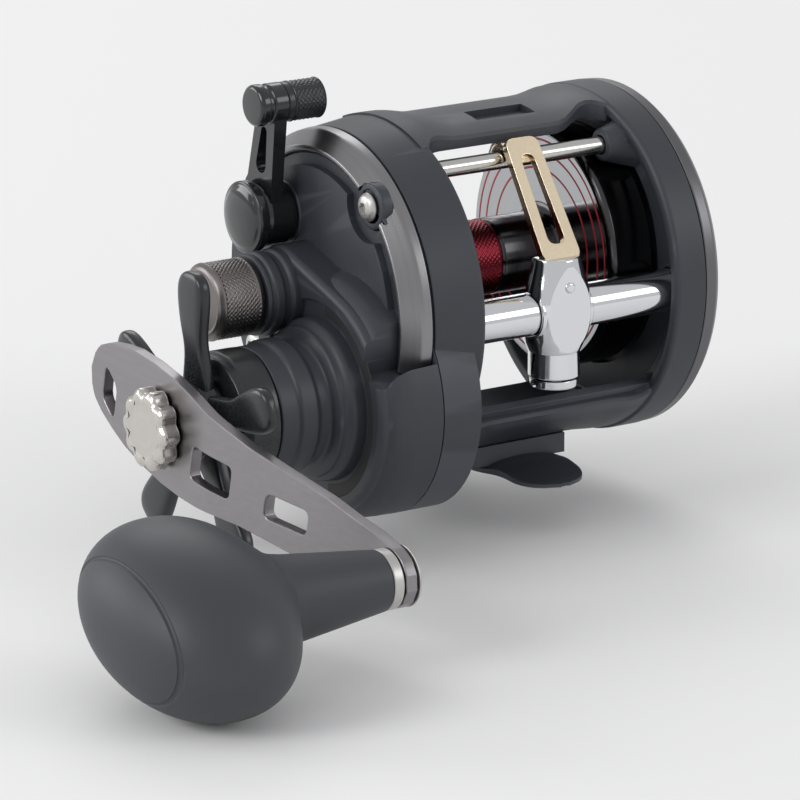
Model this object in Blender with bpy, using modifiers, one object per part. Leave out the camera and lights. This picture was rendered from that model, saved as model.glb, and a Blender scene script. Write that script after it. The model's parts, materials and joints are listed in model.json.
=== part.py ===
"""Level-wind trolling reel, built as separate pieces in one collection.

The spool turns about an axis parallel to X.  The gear side, with the handle, is at -X, the tail side is
at +X, the level wind is at the front (-Y), and the reel foot is below (-Z).  The origin is the centre of
the foot's underside.  Dimensions are in millimetres and are scaled to metres where meshes are made.
"""
import math

import bmesh
import bpy
from mathutils import Matrix, Vector

MM = 0.001
GAP = 0.3              # clearance left between neighbouring pieces

# Driving dimensions
RING_R = 40.0          # outer radius of the tail ring
SEAT_H = 42.5          # height of the ring axis above the foot's underside
OPEN_X = 25.5          # half the opening between the two rings
TAIL_X = 33.6          # outer end of the tail ring
HEAD_X = -38.2         # outer end of the head ring
HEAD_R = 38.2          # ring radius at the head seam
WEB_IN = 28.5          # inboard face of each ring's web
WEB_OUT = 31.0         # outboard face of each ring's web
WALL = 2.6             # wall of the side plate and the gear case
FLANGE_R = 28.0        # spool flange
ARBOR_R = 8.8          # spool arbor
CASE_R = 28.0          # gear case about the drive axis
BOSS_R = 15.2          # boss for the drive bearing
GEAR_TEETH = 51
PINION_TEETH = 10
CRANK_L = 75.6         # handle's drive axis to knob axis
CRANK_TILT = math.radians(12.5)
ROD_R = 2.0            # upper guide rod
TUBE_R = 4.9           # tube over the level-wind worm
CARRIAGE_X = -2.0      # place of the line guide along the tube
CARRIAGE_BACK = -25.9  # flat back of the carriage, clear of the spool's flanges
YOKE_X = (-43.6, -42.4)
BRIDGE_X = (-35.6, -34.6)
STAR_HUB = (-86.6, -80.9)
STAR_PADDLE = (-86.9, -82.6)

# Axes parallel to X, as (y, z)
RING = (0.0, SEAT_H)
SPOOL = (2.5, SEAT_H + 2.8)
DRIVE = (-14.0, SEAT_H - 18.3)
WORM = (-31.5, SEAT_H - 1.5)
ROD = (-15.2, SEAT_H + 29.8)
LEVER = (12.5, SEAT_H + 17.8)
LEVER_KNOB = (7.8, SEAT_H + 44.1)
KNOB = (DRIVE[0] - CRANK_L * math.cos(CRANK_TILT), DRIVE[1] - CRANK_L * math.sin(CRANK_TILT))
IDLER = tuple((s + w) / 2 for s, w in zip(SPOOL, WORM))

# Turned outer surfaces, from the seam outwards
CASE_TOP = -53.4       # flat top of the gear case
PLATE_X = -43.6        # outer face of the side plate
BOSS_END = -71.3       # end of the drive boss
KNOB_BOSS_END = -61.2  # end of the boss under the tension knob

PARTS = None
CUTTERS = None
MATERIALS = {
    "graphite_black": ((0.018, 0.021, 0.026), 0.0, 0.42),
    "gunmetal": ((0.17, 0.16, 0.16), 1.0, 0.35),
    "gloss_black": ((0.010, 0.011, 0.013), 0.0, 0.16),
    "polished_black": ((0.03, 0.03, 0.035), 1.0, 0.18),
    "red_anodised": ((0.30, 0.008, 0.016), 1.0, 0.34),
    "stainless": ((0.56, 0.55, 0.53), 1.0, 0.25),
    "chrome": ((0.75, 0.76, 0.78), 1.0, 0.06),
    "brass": ((0.62, 0.42, 0.16), 1.0, 0.30),
    "gold_plate": ((0.80, 0.58, 0.30), 1.0, 0.20),
    "steel": ((0.42, 0.42, 0.43), 1.0, 0.35),
    "carbon_fibre": ((0.03, 0.03, 0.03), 0.0, 0.55),
    "slate_rubber": ((0.045, 0.055, 0.065), 0.0, 0.55),
}


def clear_scene():
    for obj in list(bpy.data.objects):
        bpy.data.objects.remove(obj, do_unlink=True)


def make_materials():
    for name, (colour, metallic, roughness) in MATERIALS.items():
        material = bpy.data.materials.new(name)
        material.use_nodes = True
        shader = material.node_tree.nodes["Principled BSDF"]
        shader.inputs["Base Color"].default_value = (*colour, 1.0)
        shader.inputs["Metallic"].default_value = metallic
        shader.inputs["Roughness"].default_value = roughness
        material.diffuse_color = (*colour, 1.0)


def to_collection(obj, collection):
    for owner in list(obj.users_collection):
        owner.objects.unlink(obj)
    collection.objects.link(obj)


def finish(obj, name, material):
    """Name the piece, give it its material and put it in the parts collection."""
    obj.name = name
    obj.data.name = name
    obj.data.materials.clear()
    obj.data.materials.append(bpy.data.materials[material])
    to_collection(obj, PARTS)
    return obj


def as_cutter(obj):
    obj.hide_render = True
    obj.display_type = "WIRE"
    to_collection(obj, CUTTERS)
    return obj


def boolean(obj, other, operation, solver="EXACT"):
    modifier = obj.modifiers.new(operation.lower(), "BOOLEAN")
    modifier.operation = operation
    modifier.solver = solver
    modifier.object = as_cutter(other)


def cut(obj, *cutters):
    for cutter in cutters:
        boolean(obj, cutter, "DIFFERENCE")
    return obj


def join(obj, *others):
    for other in others:
        boolean(obj, other, "UNION")
    return obj


def bevel(obj, width, segments=1, angle=40.0):
    modifier = obj.modifiers.new("bevel", "BEVEL")
    modifier.width = width * MM
    modifier.segments = segments
    modifier.limit_method = "ANGLE"
    modifier.angle_limit = math.radians(angle)
    return obj


def turned(outline, axis, steps=32, hollow=False, along="X"):
    """Turn an outline of (position, radius) pairs about an axis.

    The outline runs along its outer side from the high end to the low end.  A hollow one comes back
    along its inner side and is closed into a ring.
    """
    mesh = bpy.data.meshes.new("turned")
    points = [(r * MM, 0.0, p * MM) for p, r in outline]
    edges = [(i, i + 1) for i in range(len(points) - 1)]
    if hollow:
        edges.append((len(points) - 1, 0))
    mesh.from_pydata(points, edges, [])
    obj = bpy.data.objects.new("turned", mesh)
    bpy.context.scene.collection.objects.link(obj)
    screw = obj.modifiers.new("screw", "SCREW")
    screw.steps = steps
    screw.render_steps = steps
    screw.use_merge_vertices = True
    screw.merge_threshold = 0.00001
    screw.use_smooth_shade = True
    if along == "X":
        obj.location = (0.0, axis[0] * MM, axis[1] * MM)
        obj.rotation_euler = (0.0, math.pi / 2, 0.0)
    return obj


def rod(x0, x1, radius, axis, steps=24):
    """A solid cylinder along X from x0 up to x1."""
    return turned([(x1, 0.0), (x1, radius), (x0, radius), (x0, 0.0)], axis, steps)


def tube(x0, x1, outer, inner, axis, steps=24):
    """A ring or sleeve along X."""
    return turned([(x1, outer), (x0, outer), (x0, inner), (x1, inner)], axis, steps, hollow=True)


def arc(centre, radius, start, end, count):
    """Points on an arc, with angles in degrees from +Y towards +Z."""
    angles = [math.radians(start + (end - start) * i / count) for i in range(count + 1)]
    return [(centre[0] + radius * math.cos(a), centre[1] + radius * math.sin(a)) for a in angles]


def circle(centre, radius, count):
    return arc(centre, radius, 0.0, 360.0, count)[:-1]


def hull_of_circles(first, r1, second, r2, count=16):
    """Outline round two circles and the two straight lines that touch both."""
    direction = math.degrees(math.atan2(second[1] - first[1], second[0] - first[0]))
    distance = math.hypot(second[1] - first[1], second[0] - first[0])
    spread = math.degrees(math.acos((r1 - r2) / distance))
    near = arc(first, r1, direction + spread, direction + 360.0 - spread, count)
    far = arc(second, r2, direction - spread, direction + spread, count)
    return near + far


def sector(centre, inner, outer, start, end, count):
    """Outline of a ring's sector."""
    return arc(centre, outer, start, end, count) + arc(centre, inner, end, start, count)


def solid_from_curve(curve_object):
    """Replace a curve object by a closed mesh with the same place."""
    bpy.context.view_layer.update()
    graph = bpy.context.evaluated_depsgraph_get()
    mesh = bpy.data.meshes.new_from_object(curve_object.evaluated_get(graph))
    work = bmesh.new()
    work.from_mesh(mesh)
    bmesh.ops.remove_doubles(work, verts=work.verts, dist=0.000001)
    work.to_mesh(mesh)
    work.free()
    obj = bpy.data.objects.new("solid", mesh)
    bpy.context.scene.collection.objects.link(obj)
    obj.matrix_world = curve_object.matrix_world.copy()
    bpy.data.objects.remove(curve_object, do_unlink=True)
    return obj


def curve_object(points, cyclic, dimensions):
    data = bpy.data.curves.new("outline", "CURVE")
    data.dimensions = dimensions
    spline = data.splines.new("POLY")
    spline.points.add(len(points) - 1)
    for target, point in zip(spline.points, points):
        place = tuple(c * MM for c in point) + (0.0,) * (3 - len(point))
        target.co = (*place, 1.0)
    spline.use_cyclic_u = cyclic
    obj = bpy.data.objects.new("outline", data)
    bpy.context.scene.collection.objects.link(obj)
    return obj


def prism(outline, x0, x1):
    """Extrude a closed (y, z) outline along X."""
    obj = curve_object(outline, True, "2D")
    obj.data.fill_mode = "BOTH"
    obj.data.extrude = abs(x1 - x0) * MM / 2
    obj.location = ((x0 + x1) * MM / 2, 0.0, 0.0)
    obj.rotation_euler = (math.pi / 2, 0.0, math.pi / 2)
    return solid_from_curve(obj)


def box(low, high):
    """A box between two corners."""
    mesh = bpy.data.meshes.new("box")
    work = bmesh.new()
    bmesh.ops.create_cube(work, size=1.0)
    size = [h - l for l, h in zip(low, high)]
    bmesh.ops.scale(work, vec=Vector(size) * MM, verts=work.verts)
    work.to_mesh(mesh)
    work.free()
    obj = bpy.data.objects.new("box", mesh)
    obj.location = [(l + h) / 2 * MM for l, h in zip(low, high)]
    bpy.context.scene.collection.objects.link(obj)
    return obj


def upright(z0, z1, radius, place, steps=16):
    """A solid cylinder along Z at (x, y)."""
    obj = turned([(z1, 0.0), (z1, radius), (z0, radius), (z0, 0.0)], (0.0, 0.0), steps, along="Z")
    obj.location = (place[0] * MM, place[1] * MM, 0.0)
    return obj


def gear_outline(centre, teeth, outer, depth, phase=0.0):
    points = []
    for tooth in range(teeth):
        for share, radius in ((0.0, outer - depth), (0.5, outer)):
            angle = math.tau * (tooth + share) / teeth + phase
            points.append((centre[0] + radius * math.cos(angle), centre[1] + radius * math.sin(angle)))
    return points


def on_axis(obj, axis, x=0.0):
    """Move a piece's origin onto its joint's axis."""
    bpy.context.view_layer.update()
    target = Vector((x * MM, axis[0] * MM, axis[1] * MM))
    shift = obj.matrix_world.inverted() @ target
    obj.data.transform(Matrix.Translation(-shift))
    obj.location = obj.location + obj.rotation_euler.to_matrix() @ shift
    return obj


# Frame and foot

FOOT_SCREWS = (-11.0, 9.0)

def ring_solid(x_open, x_seam, r_open, r_seam, web_in, web_out):
    """Ring wall with a web whose hole is cut off-centre afterwards."""
    points = [(x_seam, r_seam), (x_open, r_open), (x_open, r_open - 2.9), (web_in, 36.4), (web_in, 20.0)]
    points += [(web_out, 20.0), (web_out, 36.4), (x_seam, r_seam - WALL)]
    if x_seam < x_open:
        points = [points[1], points[0], *reversed(points[2:])]
    return turned(points, RING, 48, hollow=True)


def bar(start, end, inner, outer, count):
    """Crossbar between the rings, between two angles from +Y towards +Z."""
    return prism(sector(RING, inner, outer, start, end, count), -WEB_OUT + 1.0, WEB_OUT - 1.0)


def make_frame():
    frame = ring_solid(OPEN_X, TAIL_X, RING_R + 0.2, RING_R + 0.2, WEB_IN, WEB_OUT)
    head = ring_solid(-OPEN_X, HEAD_X, RING_R - 0.3, HEAD_R, -WEB_IN, -WEB_OUT)
    lobe = prism(circle(DRIVE, CASE_R, 40), HEAD_X, -WEB_IN)
    lobe_pocket = prism(circle(DRIVE, CASE_R - WALL, 28), HEAD_X - 1.0, -WEB_OUT)
    ring_pocket = prism(circle(RING, HEAD_R - WALL, 32), HEAD_X - 1.0, -WEB_OUT)
    join(frame, head, lobe)
    cut(frame, lobe_pocket, ring_pocket)
    join(frame, bar(72.0, 110.0, 35.6, 39.4, 6))
    join(frame, bar(-34.0, -17.0, 35.6, 39.4, 3))
    join(frame, bar(-138.0, -68.0, 35.0, 39.4, 10))
    join(frame, rod(21.5, WEB_OUT - 1.0, 4.0, ROD, 12))
    pad = box((-12.0, -16.0, SEAT_H - 40.6), (12.0, 12.0, SEAT_H - 36.0))
    join(frame, pad)
    cut(frame, prism(circle(SPOOL, 28.8, 36), -WEB_OUT - 0.5, WEB_OUT + 0.5))
    cut(frame, rod(-WEB_OUT - 1.0, WEB_OUT + 1.0, ROD_R + GAP, ROD, 12))
    cut(frame, rod(-WEB_OUT - 1.0, WEB_OUT + 1.0, TUBE_R + GAP, WORM, 20))
    cut(frame, box((-7.0, -8.2, SEAT_H + 37.0), (10.6, -2.4, SEAT_H + 41.0)))
    for y in FOOT_SCREWS:
        cut(frame, upright(-1.0, 4.6, 1.2 + GAP, (0.0, y), 12))
    return finish(frame, "frame", "graphite_black")


def foot_outline(half_length=33.5, centre_w=10.5, end_w=9.0):
    """Plan of the foot: a waisted plate with rounded ends, as (x, y)."""
    end = arc((0.0, half_length - end_w), end_w, 0.0, 180.0, 8)
    other = arc((0.0, end_w - half_length), end_w, 180.0, 360.0, 8)
    return [(centre_w, -10.0), (centre_w, 10.0), *end, (-centre_w, 10.0), (-centre_w, -10.0), *other]


def make_foot():
    obj = curve_object(foot_outline(), True, "2D")
    obj.data.fill_mode = "BOTH"
    obj.data.extrude = 0.8 * MM
    obj.location = (0.0, 0.0, 0.8 * MM)
    foot = solid_from_curve(obj)
    for y in FOOT_SCREWS:
        outline = [
            (3.0, 0.0), (3.0, 1.2 + GAP), (0.7, 1.2 + GAP), (0.7, 2.4 + GAP), (-1.0, 2.4 + GAP), (-1.0, 0.0),
        ]
        hole = turned(outline, (0.0, 0.0), 12, along="Z")
        hole.location = (0.0, y * MM, 0.0)
        cut(foot, hole)
    finish(foot, "foot", "graphite_black")
    for index, y in enumerate(FOOT_SCREWS, 1):
        outline = [(4.2, 0.0), (4.2, 1.2), (0.4, 1.2), (0.4, 2.4), (0.0, 2.4), (0.0, 0.0)]
        screw = turned(outline, (0.0, 0.0), 12, along="Z")
        screw.location = (0.0, y * MM, 0.0)
        finish(screw, f"foot_screw_{index}", "stainless")


# Gear side

TRIM_START, TRIM_END = 55.0, 194.0      # degrees from +Y towards +Z
TRIM_SEAT = -42.0       # inner face of the trim arc
HEAD_SCREWS = ((-21.9, SEAT_H + 25.8), (27.5, SEAT_H - 17.0))
HEAD_SCREW_FACES = (-44.9, PLATE_X)


def make_head_plate():
    plate = prism(circle(RING, HEAD_R, 48), PLATE_X, HEAD_X - GAP)
    recess = sector(RING, 32.9, 39.5, TRIM_START - 0.5, TRIM_END + 0.5, 24)
    cut(plate, prism(recess, PLATE_X - 1.0, TRIM_SEAT + GAP))
    cut(plate, prism(circle(HEAD_SCREWS[0], 5.2 + GAP, 16), PLATE_X - 1.0, TRIM_SEAT + GAP))
    join(plate, prism(circle(DRIVE, CASE_R, 40), -51.8, HEAD_X - GAP))
    join(plate, prism(hull_of_circles(DRIVE, CASE_R - 1.2, SPOOL, 10.2, 18), CASE_TOP, -42.0))
    steps = [(-50.0, 0.0), (-50.0, 24.6), (-55.7, 24.6), (-55.7, 19.4), (-58.2, 17.4), (-58.2, BOSS_R)]
    steps += [(BOSS_END, BOSS_R), (BOSS_END, 0.0)]
    join(plate, turned(steps, DRIVE, 32))
    join(plate, rod(KNOB_BOSS_END, -50.0, 9.4, SPOOL, 24))
    join(plate, rod(-45.6, -42.0, 7.2, LEVER, 20))
    cut(plate, prism(hull_of_circles(DRIVE, 18.5, SPOOL, 8.8, 12), -51.0, -40.0))
    cut(plate, prism(circle(RING, HEAD_R - WALL, 32), -40.6, HEAD_X))
    cut(plate, prism(circle(DRIVE, CASE_R - WALL, 28), -40.6, HEAD_X))
    cut(plate, rod(-58.6, -50.0, 5.0, SPOOL, 16))
    cut(plate, rod(BOSS_END - 1.0, -50.0, 3.4, DRIVE, 16))
    cut(plate, rod(BOSS_END - 1.0, -60.2, 10.1, DRIVE, 20))
    cut(plate, rod(-47.0, -40.0, 2.7, LEVER, 12))
    for place in HEAD_SCREWS:
        cut(plate, rod(PLATE_X - 1.0, -41.0, 1.5 + GAP, place, 10))
    finish(plate, "head_plate", "graphite_black")
    boss = tube(-80.6, BOSS_END - GAP, 14.5, 3.4, DRIVE, 28)
    finish(bevel(boss, 0.8, 1), "bearing_boss", "gloss_black")
    roller = tube(-70.4, -60.8, 9.7, 3.4, DRIVE, 20)
    finish(roller, "roller_bearing", "steel")


def make_trim_arc():
    face = HEAD_SCREW_FACES[0]
    piece = prism(sector(RING, 33.2, HEAD_R, TRIM_START, TRIM_END, 24), face, TRIM_SEAT)
    join(piece, prism(circle(HEAD_SCREWS[0], 5.2, 16), face, TRIM_SEAT))
    cut(piece, prism(circle(DRIVE, CASE_R + GAP, 40), face - 1.0, TRIM_SEAT + 1.0))
    cut(piece, rod(face - 1.0, TRIM_SEAT + 1.0, 1.5 + GAP, HEAD_SCREWS[0], 10))
    finish(piece, "trim_arc", "gunmetal")
    for index, (place, face) in enumerate(zip(HEAD_SCREWS, HEAD_SCREW_FACES), 1):
        outline = [(-41.4, 0.0), (-41.4, 1.5), (face - GAP, 1.5), (face - GAP, 3.3)]
        outline += [(face - 1.3, 2.8), (face - 1.7, 0.0)]
        finish(turned(outline, place, 14), f"head_screw_{index}", "stainless")


# Tail side

TAIL_SCREWS = tuple(arc(RING, 31.0, 80.0, 320.0, 2))
BUTTON = (SPOOL[0], SPOOL[1] - 19.0)


def make_tail_side():
    plate = turned([(38.4, 0.0), (38.4, 12.0), (36.8, 26.0), (36.8, 35.7), (TAIL_X + GAP, 35.7),
                    (TAIL_X + GAP, 0.0)], RING, 40)
    join(plate, rod(36.0, 41.0, 8.6, SPOOL, 24))
    cut(plate, rod(33.0, 37.6, 5.0, SPOOL, 16))
    cut(plate, box((33.0, BUTTON[0] - 1.8, BUTTON[1] - 1.8), (40.0, BUTTON[0] + 1.8, BUTTON[1] + 5.8)))
    for place in TAIL_SCREWS:
        cut(plate, rod(35.0, 38.0, 1.5 + GAP, place, 10))
    finish(plate, "tail_plate", "graphite_black")
    rim = turned([(38.0, 38.6), (36.6, RING_R), (TAIL_X + GAP, RING_R), (TAIL_X + GAP, 36.0), (37.4, 36.0),
                  (38.0, 36.8)], RING, 48, hollow=True)
    finish(rim, "tail_rim", "gunmetal")
    for index, place in enumerate(TAIL_SCREWS, 1):
        outline = [(38.4, 0.0), (38.2, 2.2), (37.1, 2.7), (37.1, 1.5), (35.4, 1.5), (35.4, 0.0)]
        finish(turned(outline, place, 14), f"tail_screw_{index}", "stainless")
    button = rod(38.9, 41.0, 3.2, BUTTON, 20)
    stem = rod(33.6, 39.5, 1.4, BUTTON, 12)
    button = on_axis(join(button, stem), BUTTON, 39.0)
    finish(button, "click_button", "polished_black")
    tongue = prism([(BUTTON[0] + y, BUTTON[1] + z) for y, z in
                    ((-2.2, -2.5), (2.2, -2.5), (2.2, 1.5), (0.6, 6.4), (-0.6, 6.4), (-2.2, 1.5))], 31.8, 33.2)
    finish(tongue, "click_tongue", "steel")


# Spool and its shaft

def make_spool():
    tail = [(22.0, 2.4), (22.0, 7.0), (19.4, 9.0), (19.4, 26.6), (29.2, 26.8), (29.2, FLANGE_R), (18.0, FLANGE_R),
            (18.0, ARBOR_R), (1.8, ARBOR_R), (1.8, 7.2)]
    head = [(-18.0, 7.2), (-18.0, FLANGE_R), (-29.2, FLANGE_R), (-29.2, 26.8),
            (-19.4, 26.6), (-19.4, 9.0), (-22.0, 7.0), (-22.0, 2.4)]
    spool = turned(tail + head, SPOOL, 40, hollow=True)
    finish(spool, "spool", "polished_black")
    sleeve = tube(-17.6, 1.5, ARBOR_R, 7.5, SPOOL, 28)
    finish(sleeve, "arbor_sleeve", "red_anodised")
    finish(rod(-58.0, 36.9, 2.0, SPOOL, 16), "spool_shaft", "stainless")
    finish(tube(-56.6, -52.6, 4.7, 2.3, SPOOL, 20), "spool_bearing_head", "steel")
    finish(tube(34.2, 37.0, 4.7, 2.3, SPOOL, 20), "spool_bearing_tail", "steel")
    click_gear = prism(gear_outline(SPOOL, 20, 8.0, 0.9), 31.6, 33.0)
    cut(click_gear, rod(31.0, 34.0, 2.3, SPOOL, 16))
    finish(on_axis(click_gear, SPOOL, 32.3), "click_gear", "brass")
    drive_cog = prism(gear_outline(SPOOL, 10, 3.4, 0.6), -34.1, -32.7)
    cut(drive_cog, rod(-35.0, -32.0, 2.3, SPOOL, 16))
    finish(on_axis(drive_cog, SPOOL, -33.3), "spool_cog", "brass")


# Drive train

def make_drive():
    shaft = turned([(-34.8, 0.0), (-34.8, 3.0), (-95.6, 3.0), (-95.6, 0.0)], DRIVE, 20)
    finish(shaft, "drive_shaft", "steel")
    gear = prism(gear_outline(DRIVE, GEAR_TEETH, 22.1, 1.5), -40.3, -37.4)
    cut(gear, rod(-42.0, -36.0, 3.4, DRIVE, 20))
    finish(on_axis(gear, DRIVE, -38.8), "main_gear", "brass")
    ratchet = prism(gear_outline(DRIVE, 12, 12.0, 1.6), -37.1, -36.1)
    cut(ratchet, rod(-38.0, -35.0, 3.4, DRIVE, 20))
    finish(on_axis(ratchet, DRIVE, -36.6), "ratchet", "steel")
    stack = (("drag_washer_1", "carbon_fibre"), ("drag_plate_1", "steel"), ("drag_washer_2", "carbon_fibre"))
    for index, (name, material) in enumerate(stack):
        inner_face = -40.7 - 1.2 * index
        finish(tube(inner_face - 0.8, inner_face, 16.0, 3.5, DRIVE, 32), name, material)
    pinion = prism(gear_outline(SPOOL, PINION_TEETH, 4.2, 0.9), -41.9, -34.8)
    join(pinion, rod(-45.0, -41.0, 2.95, SPOOL, 20), rod(-45.6, -44.2, 4.2, SPOOL, 20))
    cut(pinion, rod(-47.0, -34.0, 2.3, SPOOL, 16))
    finish(on_axis(pinion, SPOOL, -40.0), "pinion", "brass")



def yoke_posts():
    """Places of the yoke's two guide posts, on a line square to the one from spool to drive axis."""
    across = Vector((SPOOL[0] - DRIVE[0], SPOOL[1] - DRIVE[1])).normalized()
    side = Vector((across.y, -across.x)) * 6.6
    centre = Vector(SPOOL)
    return tuple(centre + side), tuple(centre - side)


def make_yoke_and_bridge():
    first, second = yoke_posts()
    yoke = prism(hull_of_circles(first, 1.8, second, 1.7, 6), *YOKE_X)
    cheeks = prism(circle(SPOOL, 5.0, 20), *YOKE_X)
    join(yoke, cheeks)
    cut(yoke, rod(YOKE_X[0] - 1.0, YOKE_X[1] + 1.0, 3.3, SPOOL, 20))
    for place in (first, second):
        cut(yoke, rod(YOKE_X[0] - 1.0, YOKE_X[1] + 1.0, 0.9 + GAP, place, 12))
    finish(on_axis(yoke, SPOOL, YOKE_X[0]), "yoke", "stainless")
    bridge = prism(hull_of_circles(DRIVE, 12.2, SPOOL, 12.0, 9), *BRIDGE_X)
    join(bridge, prism(circle(IDLER, 6.0, 14), *BRIDGE_X))
    join(bridge, prism(hull_of_circles(DRIVE, 10.0, DOG, 3.0, 7), *BRIDGE_X))
    join(bridge, rod(-35.0, -32.4, 1.4, IDLER, 12), rod(-37.4, -35.0, 0.9, DOG, 12))
    cut(bridge, rod(-36.5, -33.5, 4.9, SPOOL, 16), rod(-36.5, -33.5, 3.4, DRIVE, 14))
    for place in (first, second):
        join(bridge, rod(-50.4, -35.0, 0.9, place, 8))
    finish(bridge, "bridge_plate", "stainless")
    for index, place in enumerate((first, second), 1):
        turns, low, high, radius, sides = 3, -50.3, -46.2, 1.3, 8
        points = []
        for step in range(turns * sides + 1):
            angle = math.tau * step / sides
            x = low + (high - low) * step / (turns * sides)
            points.append((x, place[0] + radius * math.cos(angle), place[1] + radius * math.sin(angle)))
        coil = curve_object(points, False, "3D")
        coil.data.bevel_depth = 0.2 * MM
        coil.data.bevel_resolution = 0
        coil.data.use_fill_caps = True
        finish(solid_from_curve(coil), f"yoke_spring_{index}", "stainless")


DOG = (DRIVE[0] + 3.0, DRIVE[1] - 18.5)


def make_dog():
    outline = hull_of_circles(DOG, 2.2, (DOG[0] - 7.5, DOG[1] + 4.0), 0.7, 8)
    dog = cut(prism(outline, -37.1, -36.1), rod(-38.0, -35.0, 0.9 + GAP, DOG, 12))
    finish(on_axis(dog, DOG, -36.6), "dog", "steel")


# Free-spool lever

def make_lever():
    shaft = rod(-52.8, -38.9, 2.4, LEVER, 16)
    cam = prism(hull_of_circles(LEVER, 4.0, (LEVER[0] - 3.5, LEVER[1] - 3.5), 2.0, 8), -40.2, -38.9)
    finish(on_axis(join(shaft, cam), LEVER, -45.0), "lever_shaft", "stainless")
    hub = rod(-53.4, -45.9, 7.2, LEVER, 24)
    blade = prism(hull_of_circles(LEVER, 5.2, LEVER_KNOB, 3.4, 10), -52.4, -49.4)
    top = rod(-56.4, -49.4, 4.6, LEVER_KNOB, 20)
    join(hub, blade, top)
    middle = [(a + b) / 2 + c for a, b, c in zip(LEVER, LEVER_KNOB, (-0.4, 2.2))]
    low = (middle[0] + 0.6, middle[1] - 2.8)
    high = (middle[0] - 0.6, middle[1] + 2.8)
    cut(hub, prism(hull_of_circles(low, 1.21, high, 1.2, 6), -54.0, -48.0))
    cut(hub, rod(-60.0, -40.0, 2.7, LEVER, 16))
    finish(on_axis(hub, LEVER, -50.0), "lever_arm", "gloss_black")
    cap = turned([(-53.7, 0.0), (-53.7, 8.2), (-56.2, 8.2), (-57.2, 6.4), (-57.5, 0.0)], LEVER, 28)
    finish(cap, "lever_cap", "gloss_black")
    knob = turned([(-39.2, 0.0), (-39.2, 4.0), (-39.8, 4.6), (-49.1, 4.6), (-49.1, 0.0)], LEVER_KNOB, 20)
    finish(knob, "lever_knob", "gloss_black")


# Star drag

def make_star():
    star = rod(*STAR_HUB, 8.6, DRIVE, 28)
    for index in range(5):
        angle = math.radians(90.0 + 72.0 * index)
        direction = (math.cos(angle), math.sin(angle))
        inner = (DRIVE[0] + 6.0 * direction[0], DRIVE[1] + 6.0 * direction[1])
        root = (DRIVE[0] + 21.0 * direction[0], DRIVE[1] + 21.0 * direction[1])
        tip = (DRIVE[0] + 29.0 * direction[0], DRIVE[1] + 29.0 * direction[1])
        join(star, prism(hull_of_circles(inner, 4.0, root, 3.0, 4), -86.2, -82.0))
        join(star, prism(hull_of_circles(root, 4.2, tip, 4.6, 6), *STAR_PADDLE))
    cut(star, rod(-90.0, -80.0, 3.4, DRIVE, 20))
    finish(on_axis(star, DRIVE, -84.0), "star_wheel", "gloss_black")
    outline = [(-86.9, 6.8), (-89.6, 5.6), (-90.2, 5.6), (-90.2, 3.4), (-86.9, 3.4)]
    spring = turned(outline, DRIVE, 20, hollow=True)
    finish(spring, "star_spring", "steel")


# Handle and its knob

BLADE_T = 2.8
# Slots: place along and across the blade, half length, half width, and how far the ends are shifted
BLADE_SLOTS = ((-22.4, -2.4, 2.6, 3.9, -1.5), (19.6, -1.6, 6.5, 3.8, 0.4), (43.2, -0.6, 6.2, 2.8, 0.7))


def blade_half_width(along):
    """Half width of the crank blade at a distance from the drive axis towards the knob."""
    stations = ((-31.0, 2.0), (-28.0, 6.6), (-22.0, 9.4), (-8.0, 12.6), (8.0, 12.6), (30.0, 9.6), (54.0, 8.6),
                (70.0, 7.0), (CRANK_L, 6.6), (CRANK_L + 4.6, 4.7), (CRANK_L + 6.6, 1.0))
    for (a, wa), (b, wb) in zip(stations, stations[1:]):
        if along <= b:
            return wa + (wb - wa) * (along - a) / (b - a)
    return stations[-1][1]


def blade_x(along):
    """Middle of the blade's thickness: flat at the nut, then bent in towards the reel."""
    if along < 18.0:
        return -92.0
    if along < 70.0:
        return -92.0 + (along - 18.0) * 0.21
    return -81.08


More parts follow.
